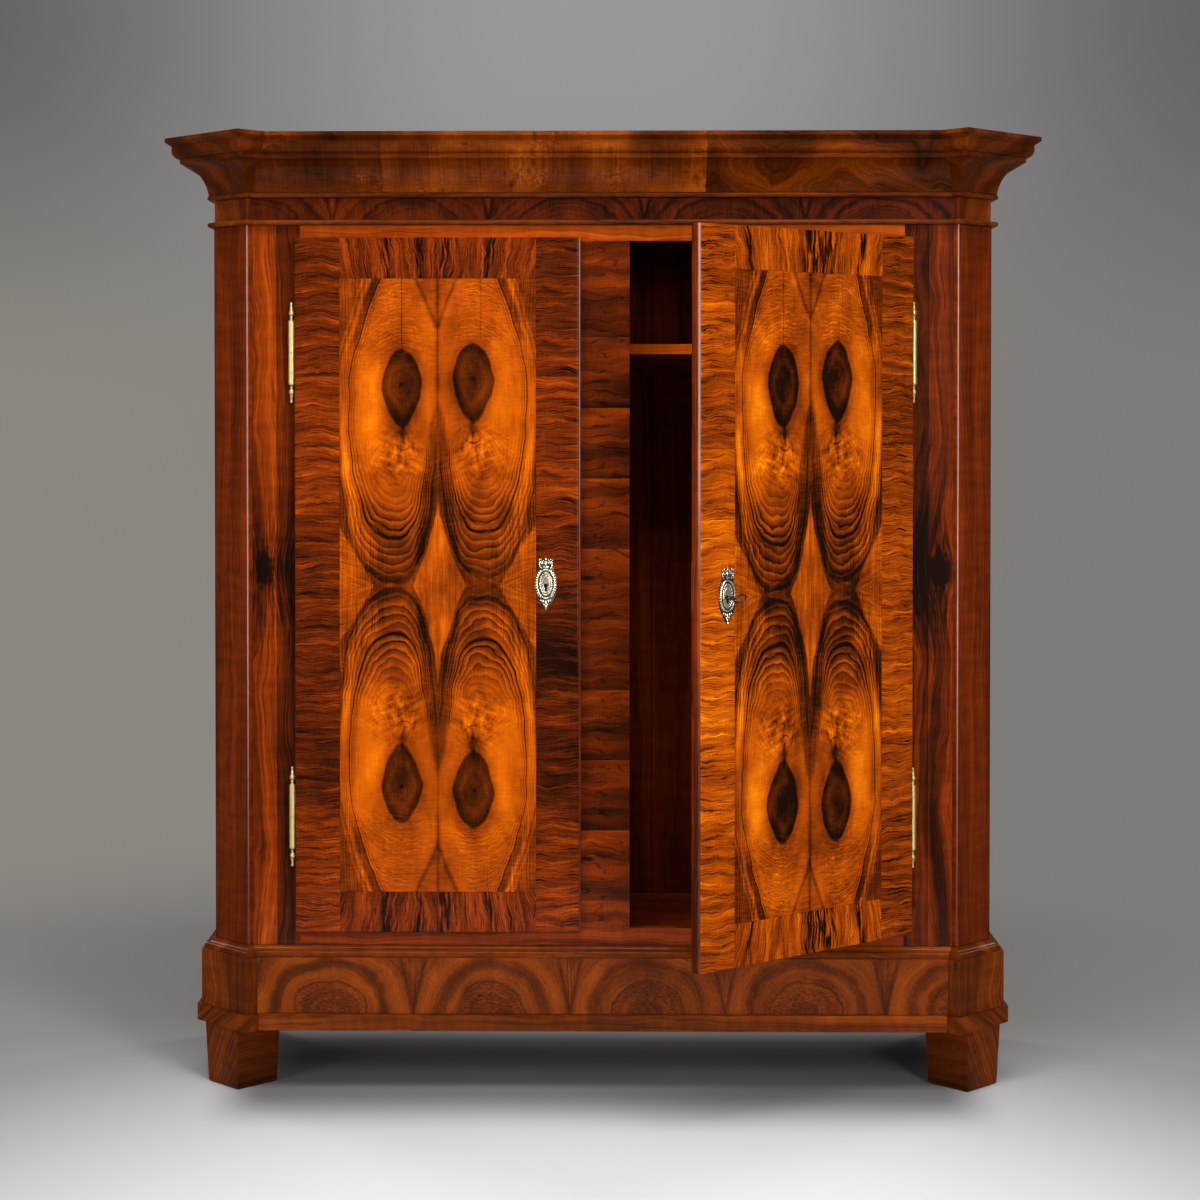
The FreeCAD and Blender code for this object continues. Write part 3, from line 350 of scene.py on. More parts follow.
# Door veneers: an oval figure mirrored four ways in a frame of crossbanding. Within one quarter,
# a is the distance from the panel's middle line and b the distance from its middle height.
PANEL_HALF_X, PANEL_HALF_Z = 205.5, 642
EYE_A, EYE_B = 75, 424
EYE_HALF_A, EYE_UP, EYE_DOWN = 43, 78, 86
EYE_SHIFT = 6
# Cracks above the eyes: place, height of the foot, depth
CRACKS = (-75, 470, 0.34), (90, 510, 0.16)
CRACK_TOP = 520
RING_A, RING_B = 88, 435
RING_OUT, RING_IN, RING_DOWN, RING_UP = 124, 86, 418, 350
RING_STEP = 0.044
DIAMOND_A, DIAMOND_B = 55, 217
LEG_A, LEG_B = 49, 388
WEDGE_A, WEDGE_B = 43, 543
CORNER_A, CORNER_B = 130, 128
BAND_PATCH = 150
# A black patch below the escutcheon of the left door
PATCH_Z, PATCH_HALF = 925, 110
# Black clouds on each door's rails: middle, half width
RAIL_BLACKS = {
    LEFT: ((-100, 17), (-34, 15), (14, 19), (104, 13)),
    RIGHT: ((28, 66), (-158, 9), (138, 12)),
}


def panel_figure(p, offset, b, x, z, force):
    """Tone of the mirrored figure, 0 dark to 1 bright."""
    noise, step, near, most = p.noise, p.step, p.near, p.most
    a = abs(offset)
    sway = noise(x / 75, z / 75, 4.0)
    shake = noise(x / 15, z / 12, 8.0, detail=3)
    a1 = a + sway * 7 + shake * 0.5
    b1 = b + noise(x / 85, z / 60, 17.0) * 10 + shake * 1.2
    b1 = b1 - (step(offset, -20, 20) * 2 - 1) * EYE_SHIFT
    outer = step(a1, 90, 116)

    # growth rings, in a U below the eye and an arch above it
    aside = a1 - RING_A
    half = step(aside, -14, 14) * (RING_OUT - RING_IN) + RING_IN
    across = abs(aside) / half
    down = most((RING_B - b1) / RING_DOWN, 0)
    up = most((b1 - RING_B) / RING_UP, 0)
    low = (across ** 2.6 + down ** 2.6) ** (1 / 2.6)
    high = (across ** 1.2 + up ** 1.2) ** (1 / 1.2)
    oval = low + high - across
    count = oval / RING_STEP + noise(x / 45, z / 45, 2.0) * 0.8
    saw = p.fract(count)
    weight = 0.3 + p.chance(p.floor(count), 3.0) * 0.7
    hanging = step(b1, 340, 180)
    inside = step(oval, 1.02, 0.98)
    line = saw ** 4 * weight
    bright_rim = near(oval, 0.89, 0.08) * near(b1, 270, 150) * step(a1, 96, 120)
    rings = line * step(oval, 0.4, 0.66) * inside * (hanging * 0.38 + outer * 0.08) * (1 - bright_rim * 0.7)
    lit = near(saw, 0.2, 0.3) * step(oval, 0.5, 0.7) * inside * hanging * 0.12 + bright_rim * 0.2
    strong = most(outer, step(b1, 330, 250))
    main_line = near(oval, 0.79, 0.017) * 0.34 + near(oval, 0.75, 0.012) * 0.16
    main_line = (main_line + near(oval, 0.71, 0.012) * 0.12 * step(a1, 110, 140)) * strong
    rim = near(oval, 0.985, 0.04) * 0.16 * strong
    smoke = step(b1, 270, 70) * inside * (0.12 + near(a1, 80, 90) * 0.1)
    shadow_band = step(oval, 0.785, 0.8) * step(oval, 0.93, 0.87) * step(b1, 470, 550) * outer * 0.24
    edge_band = step(oval, 1.0, 1.06) * step(b1, 330, 480) * outer * 0.2
    band_threads = noise(a1 / 2.6, b1 / 260, 22.0, detail=3) * step(oval, 0.8, 0.86) * outer * 0.34

    # the eye: a dark egg, pointed below
    eye_a = abs(a1 - EYE_A) / EYE_HALF_A
    eye_up = most((b1 - EYE_B) / EYE_UP, 0)
    eye_down = most((EYE_B - b1) / EYE_DOWN, 0)
    egg = eye_a ** 1.8 + eye_up ** 1.6 + eye_down ** 1.3
    in_eye = step(egg, 1.1, 0.9)
    depth = near(egg, 0.9, 0.35) * 0.08 - near(egg, 0.42, 0.3) * 0.06
    eye_rings = noise(egg * 9, 0.0, 9.0) * 0.1 + noise(x / 1.6, z / 26, 10.0) * 0.12
    eye = in_eye * (0.26 + depth + eye_rings)
    eye_dot = step(egg, 0.035, 0.0) * 0.2
    halo = step(egg, 1.9, 1.0) * 0.1
    beside_eye = a1 - EYE_A + 3
    tail = step(abs(beside_eye) / 13 + abs(b1 - 326) / 36, 1.0, 0.35) * 0.2
    smile = near(b1 - 290 - beside_eye * beside_eye / 26, 0, 3.2) * near(beside_eye, 0, 34) * 0.26

    # dark legs beside the seam, a pale diamond between them, corners of another grain
    height_share = most(1 - b1 / DIAMOND_B, 0)
    diamond = step(a1 - height_share ** 1.8 * DIAMOND_A, 3, -3) * step(b1, DIAMOND_B, DIAMOND_B - 20)
    leg_share = most(1 - b1 / LEG_B, 0)
    leg = step(a1 - leg_share ** 0.68 * LEG_A, 8, -6)
    corner = step(a1 - b1 * ((PANEL_HALF_X - CORNER_A) / CORNER_B) - CORNER_A, -5, 5)
    outside = step(oval, 0.97, 1.03) * step(b1, 330, 200)
    fibre = noise((x + noise(x / 30, z / 60, 20.0) * 8) / 3.4, z / 80, 21.0, detail=3, rough=0.6)
    waves = noise(b1 / 4.6 + a1 * a1 / 3000, a1 / 70, 23.0)
    dark = most(leg * 0.86, outside) * step(diamond + corner, 1, 0)
    dark = dark * (0.25 + fibre * 0.2 + waves * 0.16 + line * 0.16)
    slanted = noise((b1 - a1 * 0.35) / 3.6, a1 / 60, 24.0, detail=3, rough=0.6) * corner * 0.3
    upright = noise(a1 / 3.2, b1 / 120, 25.0, detail=3, rough=0.6) * diamond * 0.26
    upright = upright + near(a1, 7, 11) * step(b1, 20, 90) * diamond * 0.12
    rise = a1 - (b1 - WEDGE_B) * (WEDGE_A / (PANEL_HALF_Z - WEDGE_B))
    wedge = step(rise, 3, -3) * 0.07 + near(rise, 0, 8) * step(b1, WEDGE_B - 60, WEDGE_B) * 0.14
    seam = near(a, 0, 1.4) * step(b1, 250, 330) * 0.12

    # light in the wood: a bright flank, ripples above the eye, feathers below it
    flank = near(a1, 142, 62) * near(b1, 370, 230) * 0.2
    arch = b + (a - 70) * (a - 70) / 150 + noise(x / 16, z / 16, 30.0) * 9
    ripple = noise(0.0, arch / 3.4, 31.0) * step(b1, 440, 540) * step(oval, 0.8, 0.7) * 0.4
    spread = (a - 70) / (abs(b - 330) + 24)
    feather = noise(spread * 6 + sway, b / 34, 33.0, detail=4, rough=0.6)
    blaze = noise((b - a * 0.5) / 9, (a + b) / 60, 34.0, detail=4, rough=0.65) * 0.5
    feather = (feather * 0.6 + blaze) * near(b1, 272, 95) * near(a1, 84, 95)
    grain = noise(x / 1.4, z / 60, 12.0, detail=3, rough=0.6) * 0.13
    silk = noise(x / 26, z / 4.4, 14.0, detail=3) * (step(b1, 400, 560) * 0.1 + 0.07)
    cloud = noise(x / 55, z / 85, 15.0, detail=3) * 0.28
    specks = step(noise(x / 5, z / 9, 16.0, detail=1), 0.52, 0.62) * 0.34
    tone = flank + ripple + feather + grain + silk + cloud + lit + band_threads + slanted + upright
    tone = tone - rings - main_line - rim * (1 - corner) - smoke - shadow_band - edge_band - smile
    tone = tone - eye - eye_dot - halo - tail - dark - wedge - seam - specks
    return (tone - corner * 0.06 - diamond * 0.03) * force + 0.5


def crossband(p, run, cross, patch, seed, swirl=1.0, change=0.24):
    """Tone of crossbanding whose joints repeat along its length."""
    slot = run / patch + p.noise(run / 700, 0.0, seed) * 0.6
    own = p.chance(p.floor(slot), seed) - 0.5
    drift = run + own * 700
    burl = p.step(p.noise(cross / 60, drift / 75, seed + 8), 0.0, 0.35) * swirl
    bend = p.noise(cross / 70, drift / 75, seed) * 16 * swirl
    bend = bend + p.noise(cross / 12, drift / 10, seed + 1) * (burl * 5 + 0.7)
    way = drift + bend
    bands = p.noise(cross / 150, way / 17, seed + 2, detail=3, rough=0.6)
    threads = p.noise(cross / 120, way / 2.1, seed + 3, detail=3, rough=0.7)
    marked = p.step(p.noise(cross / 60, way / 40, seed + 7), -0.1, 0.2)
    growth = p.lines(cross / 150, way / 6, seed + 4, 0.07) * marked
    streaks = p.step(p.noise(cross / 110, way / 4.2, seed + 6, detail=3), 0.12, 0.5)
    ripple = p.noise(cross / 2.4, way / 26, seed + 5, detail=1)
    joint = p.near(p.fract(slot), 0.0, 0.012)
    tone = 0.57 + own * change + bands * 0.46 + threads * 0.5 + ripple * 0.08
    return tone - growth * 0.3 - streaks * 0.42 - joint * 0.12


def door_veneer(word, side):
    p = Paint(word + "_door_veneer", swings=side == RIGHT)
    offset = p.x * side - DOOR_MID_X
    a = abs(offset)
    b = abs(p.z - DOOR_MID_Z)
    high = p.step(p.z, DOOR_MID_Z, DOOR_MID_Z + 20)
    seed = 20.0 + side * 5
    in_panel = p.step(a, PANEL_HALF_X + 0.4, PANEL_HALF_X - 0.4)
    in_height = p.step(b, PANEL_HALF_Z + 0.4, PANEL_HALF_Z - 0.4)
    if side == LEFT:
        patch = p.near(p.z, PATCH_Z, PATCH_HALF) * p.step(offset, -150, -220) * 0.3
        stile_lift, rail_lift, palette = p.step(offset, 0, -100) * -0.02 - patch - 0.17, -0.04, WALNUT
        change, force, ink = 0.24, 1.0, 0.5
    else:
        stile_lift, rail_lift, palette = p.step(offset, -100, 100) * -0.1 - 0.08, -0.13, GOLDEN
        change, force, ink = 0.36, 1.25, 0.85
    stile_tone = crossband(p, p.z, p.x, BAND_PATCH, seed, change=change) + stile_lift
    fan = offset * (1 - abs(b - PANEL_HALF_Z) / 900) + p.noise(p.z / 50, offset / 40, seed + 13) * 10
    rail_tone = crossband(p, fan, p.z, PANEL_HALF_X * 5, seed + 10, swirl=0.7)
    black = 0.0
    for middle, half in RAIL_BLACKS[side]:
        black = p.near(fan, middle * side, half) + black
    bark = p.step(p.noise(fan / 5, p.z / 60, seed + 12, detail=3), -0.2, 0.26)
    rail_tone = rail_tone - p.clamp(black * 1.4) * bark * ink + rail_lift
    panel_tone = panel_figure(p, offset * side, b, p.x, p.z, force)
    for crack, foot, depth in CRACKS:
        wander = p.noise(p.z / 60, 0.0, seed + 14) * 2
        along = p.step(b, foot, CRACK_TOP) * high
        panel_tone = panel_tone - p.near(offset * side - crack - wander, 0, 1.5) * along * depth
    frame_tone = p.mix(in_panel, p.ramp(stile_tone, *palette), p.ramp(rail_tone, *palette))
    banded = p.mix(in_panel * in_height, frame_tone, p.ramp(panel_tone, *GOLDEN))
    inner = p.ramp(walnut(p, p.z, p.x + p.y, seed + 20) - 0.08, *WALNUT)
    front = p.step(p.y, -20.9, -22.1)
    colour = p.mix(front, inner, banded)
    seam = p.near(a, PANEL_HALF_X, 1.0) * in_height + p.near(b, PANEL_HALF_Z, 1.0) * in_panel
    colour = p.shade(colour, 1 - seam * front * 0.4)
    dashes = pores(p, p.z, p.x + p.y * 0.8, seed + 30)
    wave = p.noise(p.x / 180, p.z / 240, seed + 31, detail=1)
    # Painted highlight: a pale line on the rounded front of each door's free edge, fainter lower down
    highlight_share = p.near(abs(p.x), DOOR_IN_X + 2.2, 1.9) * p.step(p.y, -14, -18)
    highlight_share = highlight_share * (p.step(p.z, 1050, 1350) * 0.85 + 0.1)
    polish(p, p.shade(colour, 1 - dashes * 0.12), wave * 5 - dashes * 0.4, 0.06, arris=5, painted_highlight=highlight_share)
    return p


# Metal. Hollows up to this width are dark
HOLLOW_WIDTH = 3


def metal(swings, name, colour, dark, rough, seed, spots=0.35, relief=None):
    """Old metal, dark in its hollows. relief gives the layout y of a hollow and of a high spot."""
    p = Paint(name + ("_ajar" if swings else ""), swings)
    patch = p.noise(p.x / 6, p.y / 6 + seed, p.z / 6, detail=4, rough=0.65)
    scratch = p.noise(p.x / 0.6, p.y / 0.6 + seed, p.z / 5)
    if relief:
        height = p.step(p.y, relief[0], relief[1])
    else:
        feeds = {"Distance": HOLLOW_WIDTH * MM}
        hollow = p.node("AmbientOcclusion", feeds, samples=4, only_local=True)
        height = Num(p, hollow.outputs["AO"])
    worn = p.clamp(height * 1.1 + patch * spots - 0.08)
    p.set(Base_Color=p.mix(worn, screen(*dark), screen(*colour)), Metallic=1.0)
    p.set(Roughness=p.clamp(rough + patch * 0.14 + scratch * 0.06 + (1 - worn) * 0.15))
    p.bump(patch * 0.4 + scratch * 0.3, 0.05)
    return p


# Edges that turn by more than this stay hard
SHARP_ANGLE = math.radians(35)


def turns(count):
    """Angles that share out a full turn."""
    return [2 * math.pi * i / count for i in range(count)]


def loop_about(centre, across, half_across, up, half_up, count):
    """Points on an ellipse, its half axes given as directions and lengths."""
    return [
        centre + across * (half_across * math.cos(t)) + up * (half_up * math.sin(t)) for t in turns(count)
    ]


def link(name, data):
    """A new object in the scene."""
    made = bpy.data.objects.new(name, data)
    bpy.context.scene.collection.objects.link(made)
    return made


class Solid:
    """A mesh in the making, in millimetres of the closed wardrobe."""

    def __init__(self):
        self.bm = bmesh.new()

    def rings(self, loops, closed=False):
        """Joins loops of points, one after the other, and caps the ends."""
        made = [[self.bm.verts.new(point) for point in loop] for loop in loops]
        count = len(made[0])
        pairs = list(zip(made, made[1:])) + ([(made[-1], made[0])] if closed else [])
        for low, high in pairs:
            for i in range(count):
                j = (i + 1) % count
                self.bm.faces.new((low[i], low[j], high[j], high[i]))
        if not closed:
            self.bm.faces.new(list(reversed(made[0])))
            self.bm.faces.new(made[-1])

    def lathe(self, profile, base, axis=(0, 0, 1), steps=40):
        """Turns (radius, height) pairs about an axis through the base."""
        turn = Vector((0, 0, 1)).rotation_difference(Vector(axis)).to_matrix()
        self.rings([
            [Vector(base) + turn @ Vector((r * math.cos(t), r * math.sin(t), h)) for t in turns(steps)]
            for r, h in profile
        ])

    def tube(self, path, radius, closed=False, sides=12):
        """A round bar along a path."""
        loops = []
        count = len(path)
        for i, point in enumerate(path):
            after = path[(i + 1) % count] if closed or i + 1 < count else point
            before = path[i - 1] if closed or i > 0 else point
            run = (Vector(after) - Vector(before)).normalized()
            side = run.cross(Vector((0, 1, 0))).normalized()
            up = side.cross(run)
            loops.append(loop_about(Vector(point), side, radius, up, radius, sides))
        self.rings(loops, closed)

    def oval_ring(self, centre, half_x, half_z, radius):
        x, y, z = centre
        path = [(x + a, y, z + b) for a, b in ellipse(0, 0, half_x, half_z, 72)]
        self.tube(path, radius, True)

    def block(self, low, high):
        (x0, y0, z0), (x1, y1, z1) = low, high
        self.rings([
            [(x0, y0, z), (x1, y0, z), (x1, y1, z), (x0, y1, z)] for z in (z0, z1)
        ])

    def ball(self, centre, half_x, half_y, half_z, segments):
        matrix = Matrix.Translation(centre) @ Matrix.Diagonal((half_x, half_y, half_z, 1))
        bmesh.ops.create_uvsphere(
            self.bm, u_segments=segments, v_segments=segments // 2, radius=1, matrix=matrix,
        )

    def plate(self, outlines, centre, back_y, depth, bevel):
        """A flat plate with holes, its front toward -y and its edges eased."""
        curve = bpy.data.curves.new("plate", "CURVE")
        curve.dimensions = "2D"
        curve.fill_mode = "BOTH"
        curve.extrude = depth / 2 - bevel
        curve.bevel_depth = bevel
        curve.bevel_resolution = 2
        for outline in outlines:
            spline = curve.splines.new("POLY")
            spline.points.add(len(outline) - 1)
            for point, (x, z) in zip(spline.points, outline):
                point.co = (x, z, 0, 1)
            spline.use_cyclic_u = True
        holder = link("plate", curve)
        bpy.context.view_layer.update()
        mesh = bpy.data.meshes.new_from_object(holder.evaluated_get(bpy.context.evaluated_depsgraph_get()))
        place = Matrix.Translation((centre[0], back_y - depth / 2, centre[1]))
        mesh.transform(place @ Matrix.Rotation(math.pi / 2, 4, "X"))
        self.bm.from_mesh(mesh)
        bmesh.ops.remove_doubles(self.bm, verts=self.bm.verts, dist=0.002)
        bpy.data.objects.remove(holder)
        bpy.data.curves.remove(curve)
        bpy.data.meshes.remove(mesh)

    def done(self, name, body, slot, paints, replaces=(), swings=False):
        """Makes the object, swings it with the right door if asked, and hands it to its body.
        paints holds its paint at rest and, if it may swing, its paint swung."""
        bmesh.ops.recalc_face_normals(self.bm, faces=self.bm.faces)
        for face in self.bm.faces:
            face.smooth = True
        mesh = bpy.data.meshes.new(name)
        self.bm.to_mesh(mesh)
        self.bm.free()
        mesh.transform(Matrix.Diagonal((MM, MM, MM, 1)))
        if swings:
            mesh.transform(SWUNG)
        mesh.set_sharp_from_angle(angle=SHARP_ANGLE)
        piece = link(name, mesh)
        paints[swings].wear(piece)
        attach(piece, body)
        if replaces:
            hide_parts(*replaces)


# Hinges
ring_low, ring_high = node_box("hinge_rings")
RING_HEIGHT = 1.2
HINGE_LEVELS = (ring_low.z, ring_high.z - RING_HEIGHT)
HINGE_PLAY = 0.2
BARREL_RADIUS, BARREL_LENGTH = 6.7, 65
LEAF_THICKNESS, LEAF_LENGTH, LEAF_INSET = 2.4, 54, 5
# How far the leaves reach behind the stile's face and into the door
PIN_LEAF_REACH, DOOR_LEAF_REACH = 15.9, 29.9
FINIAL_LENGTH = 39.5
# A finial's outline: shares of the barrel's radius, shares of its length
FINIAL = (
    (1.0, 0.0), (0.97, 0.02), (0.62, 0.06), (0.46, 0.1), (0.4, 0.15), (0.5, 0.18), (0.6, 0.2), (0.5, 0.23),
    (0.44, 0.26), (0.62, 0.31), (0.78, 0.37), (0.84, 0.43), (0.78, 0.49), (0.6, 0.55), (0.46, 0.6),
    (0.56, 0.63), (0.56, 0.65), (0.42, 0.69), (0.38, 0.78), (0.34, 0.86), (0.42, 0.9), (0.43, 0.94),
    (0.32, 0.985), (0.12, 1.0),
)


def barrel_profile(direction):
    """A barrel from its joint to the tip of its finial."""
    ease = 0.5
    profile = [(BARREL_RADIUS - ease, 0), (BARREL_RADIUS, ease)]
    # rings close to the finial keep the shading of the long barrel straight
    profile += [(BARREL_RADIUS, BARREL_LENGTH - back) for back in (4, 3, 0)]
    profile += [(BARREL_RADIUS * a, BARREL_LENGTH + FINIAL_LENGTH * b) for a, b in FINIAL]
    return [(radius, direction * height) for radius, height in profile]


def hinges(brass):
    half = LEAF_THICKNESS / 2
    for word, side in SIDES.items():
        x = side * HINGE_X
        low_x, high_x = sorted((x, side * (DOOR_OUT_X - DOOR_LEAF_REACH)))
        pins, barrels = Solid(), Solid()
        for joint_z in HINGE_LEVELS:
            pins.lathe(barrel_profile(-1), (x, HINGE_Y, joint_z))
            top = joint_z - LEAF_INSET
            pins.block((x - half, HINGE_Y, top - LEAF_LENGTH), (x + half, FACE_Y + PIN_LEAF_REACH, top))
            start = joint_z + RING_HEIGHT + HINGE_PLAY
            barrels.lathe(barrel_profile(1), (x, HINGE_Y, start))
            bottom = start + LEAF_INSET
            barrels.block((low_x, HINGE_Y - half, bottom), (high_x, HINGE_Y + half, bottom + LEAF_LENGTH))
        pins.done(word + "_hinge_pins_turned", "case", "hinge_brass", brass, [word + "_hinge_pins"])
        barrels.done(word + "_hinge_barrels_turned", word + "_door", "hinge_brass", brass,
                     [word + "_hinge_barrels"], side == RIGHT)


# Escutcheons, each drawn about its own middle
plate_low, plate_high = node_box("left_escutcheon")
PLATE_X = -(plate_low.x + plate_high.x) / 2
PLATE_Z = (plate_low.z + plate_high.z) / 2
PLATE_HALF_X = (plate_high.x - plate_low.x) / 2
PLATE_HALF_Z = (plate_high.z - plate_low.z) / 2
KEY_Z = JOINTS["key_turn"]["pos_m"][2] / MM


def plate_outline():
    """The silhouette: an oval with a wavy rim, a crown of three prongs and a pointed tail."""
    half = [
        (0.0, 1.0), (0.06, 0.985), (0.08, 0.94), (0.16, 0.925), (0.15, 0.88), (0.25, 0.87), (0.37, 0.9),
        (0.42, 0.95), (0.5, 0.95), (0.53, 0.9), (0.6, 0.925), (0.68, 0.92), (0.7, 0.86), (0.64, 0.8),
        (0.61, 0.72), (0.65, 0.64), (0.72, 0.56), (0.76, 0.46), (0.84, 0.4), (0.9, 0.32), (0.99, 0.24),
        (0.96, 0.14), (1.0, 0.04), (0.96, -0.08), (0.99, -0.2), (0.92, -0.3), (0.9, -0.4), (0.79, -0.48),
        (0.74, -0.57), (0.62, -0.62), (0.52, -0.72), (0.38, -0.78), (0.26, -0.87), (0.12, -0.92), (0.0, -1.0),
    ]
    mirrored = [(-x, z) for x, z in reversed(half[1:-1])]
    return [(x * PLATE_HALF_X, z * PLATE_HALF_Z) for x, z in half + mirrored]


def keyhole_outline(drop, more=0.4):
    """A round hole with a slot under it, its middle a drop above or below the plate's. more makes
    up for the bevel that closes it in."""
    radius, half, foot = 4 + more, 2 + more, 11 + more
    start = math.asin(half / radius)
    count = 20
    points = []
    for i in range(count + 1):
        t = -math.pi / 2 + start + (2 * math.pi - 2 * start) * i / count
        points.append((radius * math.cos(t), drop + radius * math.sin(t)))
    return points + [(-half, drop - foot), (half, drop - foot)]


def ellipse(x, z, half_x, half_z, steps=20):
    return [(x + half_x * math.cos(t), z + half_z * math.sin(t)) for t in turns(steps)]


def escutcheon(word, side, silver):
    x, z = side * PLATE_X, PLATE_Z
    front = DOOR_FRONT_Y
    made = Solid()
    drop = KEY_Z - PLATE_Z
    hole = keyhole_outline(drop)
    piercings = [ellipse(s * 5.6, 38.5, 1.8, 2.4) for s in (-1, 1)]
    made.plate([plate_outline(), hole] + piercings, (x, z), front, 1.4, 0.35)
    made.plate([ellipse(0, 0, 12, 23.6, 56), keyhole_outline(drop, 1.1)], (x, z), front - 0.6, 1.6, 0.7)
    made.oval_ring((x, front - 1.9, z), 18.3, 29.8, 1.7)
    made.oval_ring((x, front - 2.2, z), 12.2, 23.4, 1.25)
    made.oval_ring((x, front - 2.0, z - 1), 8.0, 17.4, 0.6)

    def bead(across, up, half_x, half_z, rise=1.9, segments=10):
        made.ball((x + across, front - rise, z + up), half_x, 1.3, half_z, segments)

    # beads on the rim, but for its top and its foot
    rim_beads = 36
    for i in range(rim_beads):
        t = 2 * math.pi * (i + 0.5) / rim_beads
        if abs(math.sin(t)) < 0.9:
            bead(20.4 * math.cos(t), 32.2 * math.sin(t), 1.6, 1.9, 1.2, 8)
    # the crown: scrolls at its sides, a cartouche, three prongs
    bead(0, 43.5, 3.2, 4.6)
    bead(0, 35.6, 5.4, 2.6)
    bead(0, 51.5, 2.2, 2.6)
    bead(0, 55.0, 1.2, 1.4, 1.6, 8)
    # the tail: leaves about a pointed drop
    bead(0, -38.5, 2.6, 5.2)
    bead(0, -47.5, 2.1, 4.6, 1.7)
    bead(0, -53.5, 1.1, 2.6, 1.5, 8)
    for s in (-1, 1):
        side_scroll = [(s * a, b) for a, b in ((9.2, 32.5), (12.4, 36), (13.4, 40.5), (12.6, 45), (10.4, 48))]
        for path in (side_scroll, [(s * a, b) for a, b in scroll(8.6, 44.0, 3.4)]):
            made.tube([(x + a, front - 1.7, z + b) for a, b in path], 0.9, sides=8)
        bead(s * 10.0, 51.6, 1.5, 2.4)
        bead(s * 13.8, 50.0, 1.3, 1.9)
        bead(s * 5.0, 48.6, 1.6, 1.4)
        bead(s * 5.6, -36.2, 2.2, 3.2)
        bead(s * 10.2, -34.0, 1.9, 2.2)
        bead(s * 3.6, -43.0, 1.7, 2.8)
    made.done(word + "_escutcheon_chased", word + "_door", "silvered_brass", silver,
              [word + "_escutcheon"], side == RIGHT)


def scroll(centre_x, centre_z, size):
    """A small volute, as (x, z) points."""
    points = []
    count = 22
    for i in range(count + 1):
        share = i / count
        radius = size * (1 - share * 0.78)
        t = math.pi * (0.1 + 2.2 * share)
        points.append((centre_x + radius * math.cos(t), centre_z + radius * math.sin(t)))
    return points


# Key, drawn in the closed layout with its axis along y and then turned as it rests
KEY_TURN = math.radians(55)
BOW_REACH, BOW_LONG, BOW_SHORT, BOW_WIRE = 36, 14, 12, 2.0
DOOR_THICKNESS, LOCK_DEPTH, LOCK_PLATE, KEY_PLAY = 22, 18, 1.6, 2
# The bit: half its thickness, its start and end behind the stiles' face, its height
BIT_HALF, BIT_START, BIT_END, BIT_HEIGHT = 1.3, 5.5, 11.5, 9.5


def key(iron):
    made = Solid()
    x = PLATE_X
    bow_y = DOOR_FRONT_Y - BOW_REACH
    turn = Matrix.Rotation(KEY_TURN, 3, "Y")
    loops = []
    for t in turns(48):
        middle = Vector((0, BOW_LONG * math.cos(t), BOW_SHORT * math.sin(t)))
        outward = Vector((0, BOW_SHORT * math.cos(t), BOW_LONG * math.sin(t))).normalized()
        loop = loop_about(middle, outward, BOW_WIRE, Vector((1, 0, 0)), BOW_WIRE, 12)
        loops.append([Vector((x, bow_y, KEY_Z)) + turn @ spot for spot in loop])
    made.rings(loops, closed=True)
    shank_start = bow_y + BOW_LONG
    length = DOOR_FRONT_Y + DOOR_THICKNESS + LOCK_DEPTH - LOCK_PLATE - KEY_PLAY - shank_start
    profile = [
        (2.2, -1.0), (3.4, 0.3), (3.9, 1.6), (3.4, 2.9), (2.6, 3.6), (2.6, 5.2), (3.6, 6.2), (4.6, 7.2),
        (4.6, 10.6), (3.7, 11.4), (3.1, 12.2), (3.0, 14), (3.0, length),
    ]
    made.lathe(profile, (x, shank_start, KEY_Z), axis=(0, 1, 0), steps=28)
    bit = ((BIT_START, 0), (BIT_START, BIT_HEIGHT), (BIT_END, BIT_HEIGHT), (BIT_END, 0))
    made.rings([
        [turn @ Vector((across, 0, up)) + Vector((x, FACE_Y + back, KEY_Z)) for back, up in bit]
        for across in (-BIT_HALF, BIT_HALF)
    ])
    made.done("key_turned", "key", "key_steel", iron, ["key"], True)


# Screws and nails
NAIL_REACH = 35
NAIL_RISES = (11, 51)
# How far the screws lie inside the edges of the lock
SCREW_IN, SCREW_OUT, SCREW_UP = 10, 8, 12


def screw(made, place, radius=3.4):
    """A countersunk screw head, drawn as a low dome."""
    profile = [(radius, -0.4), (radius, 0.15), (radius * 0.82, 0.42), (radius * 0.4, 0.55), (0.2, 0.58)]
    made.lathe(profile, place, (0, 1, 0), 18)


def nail(made, place, radius=2.0):
    made.lathe([(radius, -0.3), (radius, 0.12), (radius * 0.5, 0.22), (0.1, 0.24)], place, (0, -1, 0), 14)


def fittings(steel, iron):
    lock_low, lock_high = node_box("left_lock_case")
    for word, side in SIDES.items():
        nails, screws = Solid(), Solid()
        for joint_z in HINGE_LEVELS:
            for level in NAIL_RISES:
                nail(nails, (side * (HINGE_X - NAIL_REACH), DOOR_FRONT_Y, joint_z + level))
        for lock_x in (-lock_high.x + SCREW_IN, -lock_low.x - SCREW_OUT):
            for lock_z in (lock_low.z + SCREW_UP, lock_high.z - SCREW_UP):
                screw(screws, (side * lock_x, lock_high.y, lock_z))
        for made, end, paints in ((nails, "_hinge_nails", iron), (screws, "_lock_screws", steel)):
            made.done(word + end, word + "_door", "lock_steel", paints, swings=side == RIGHT)


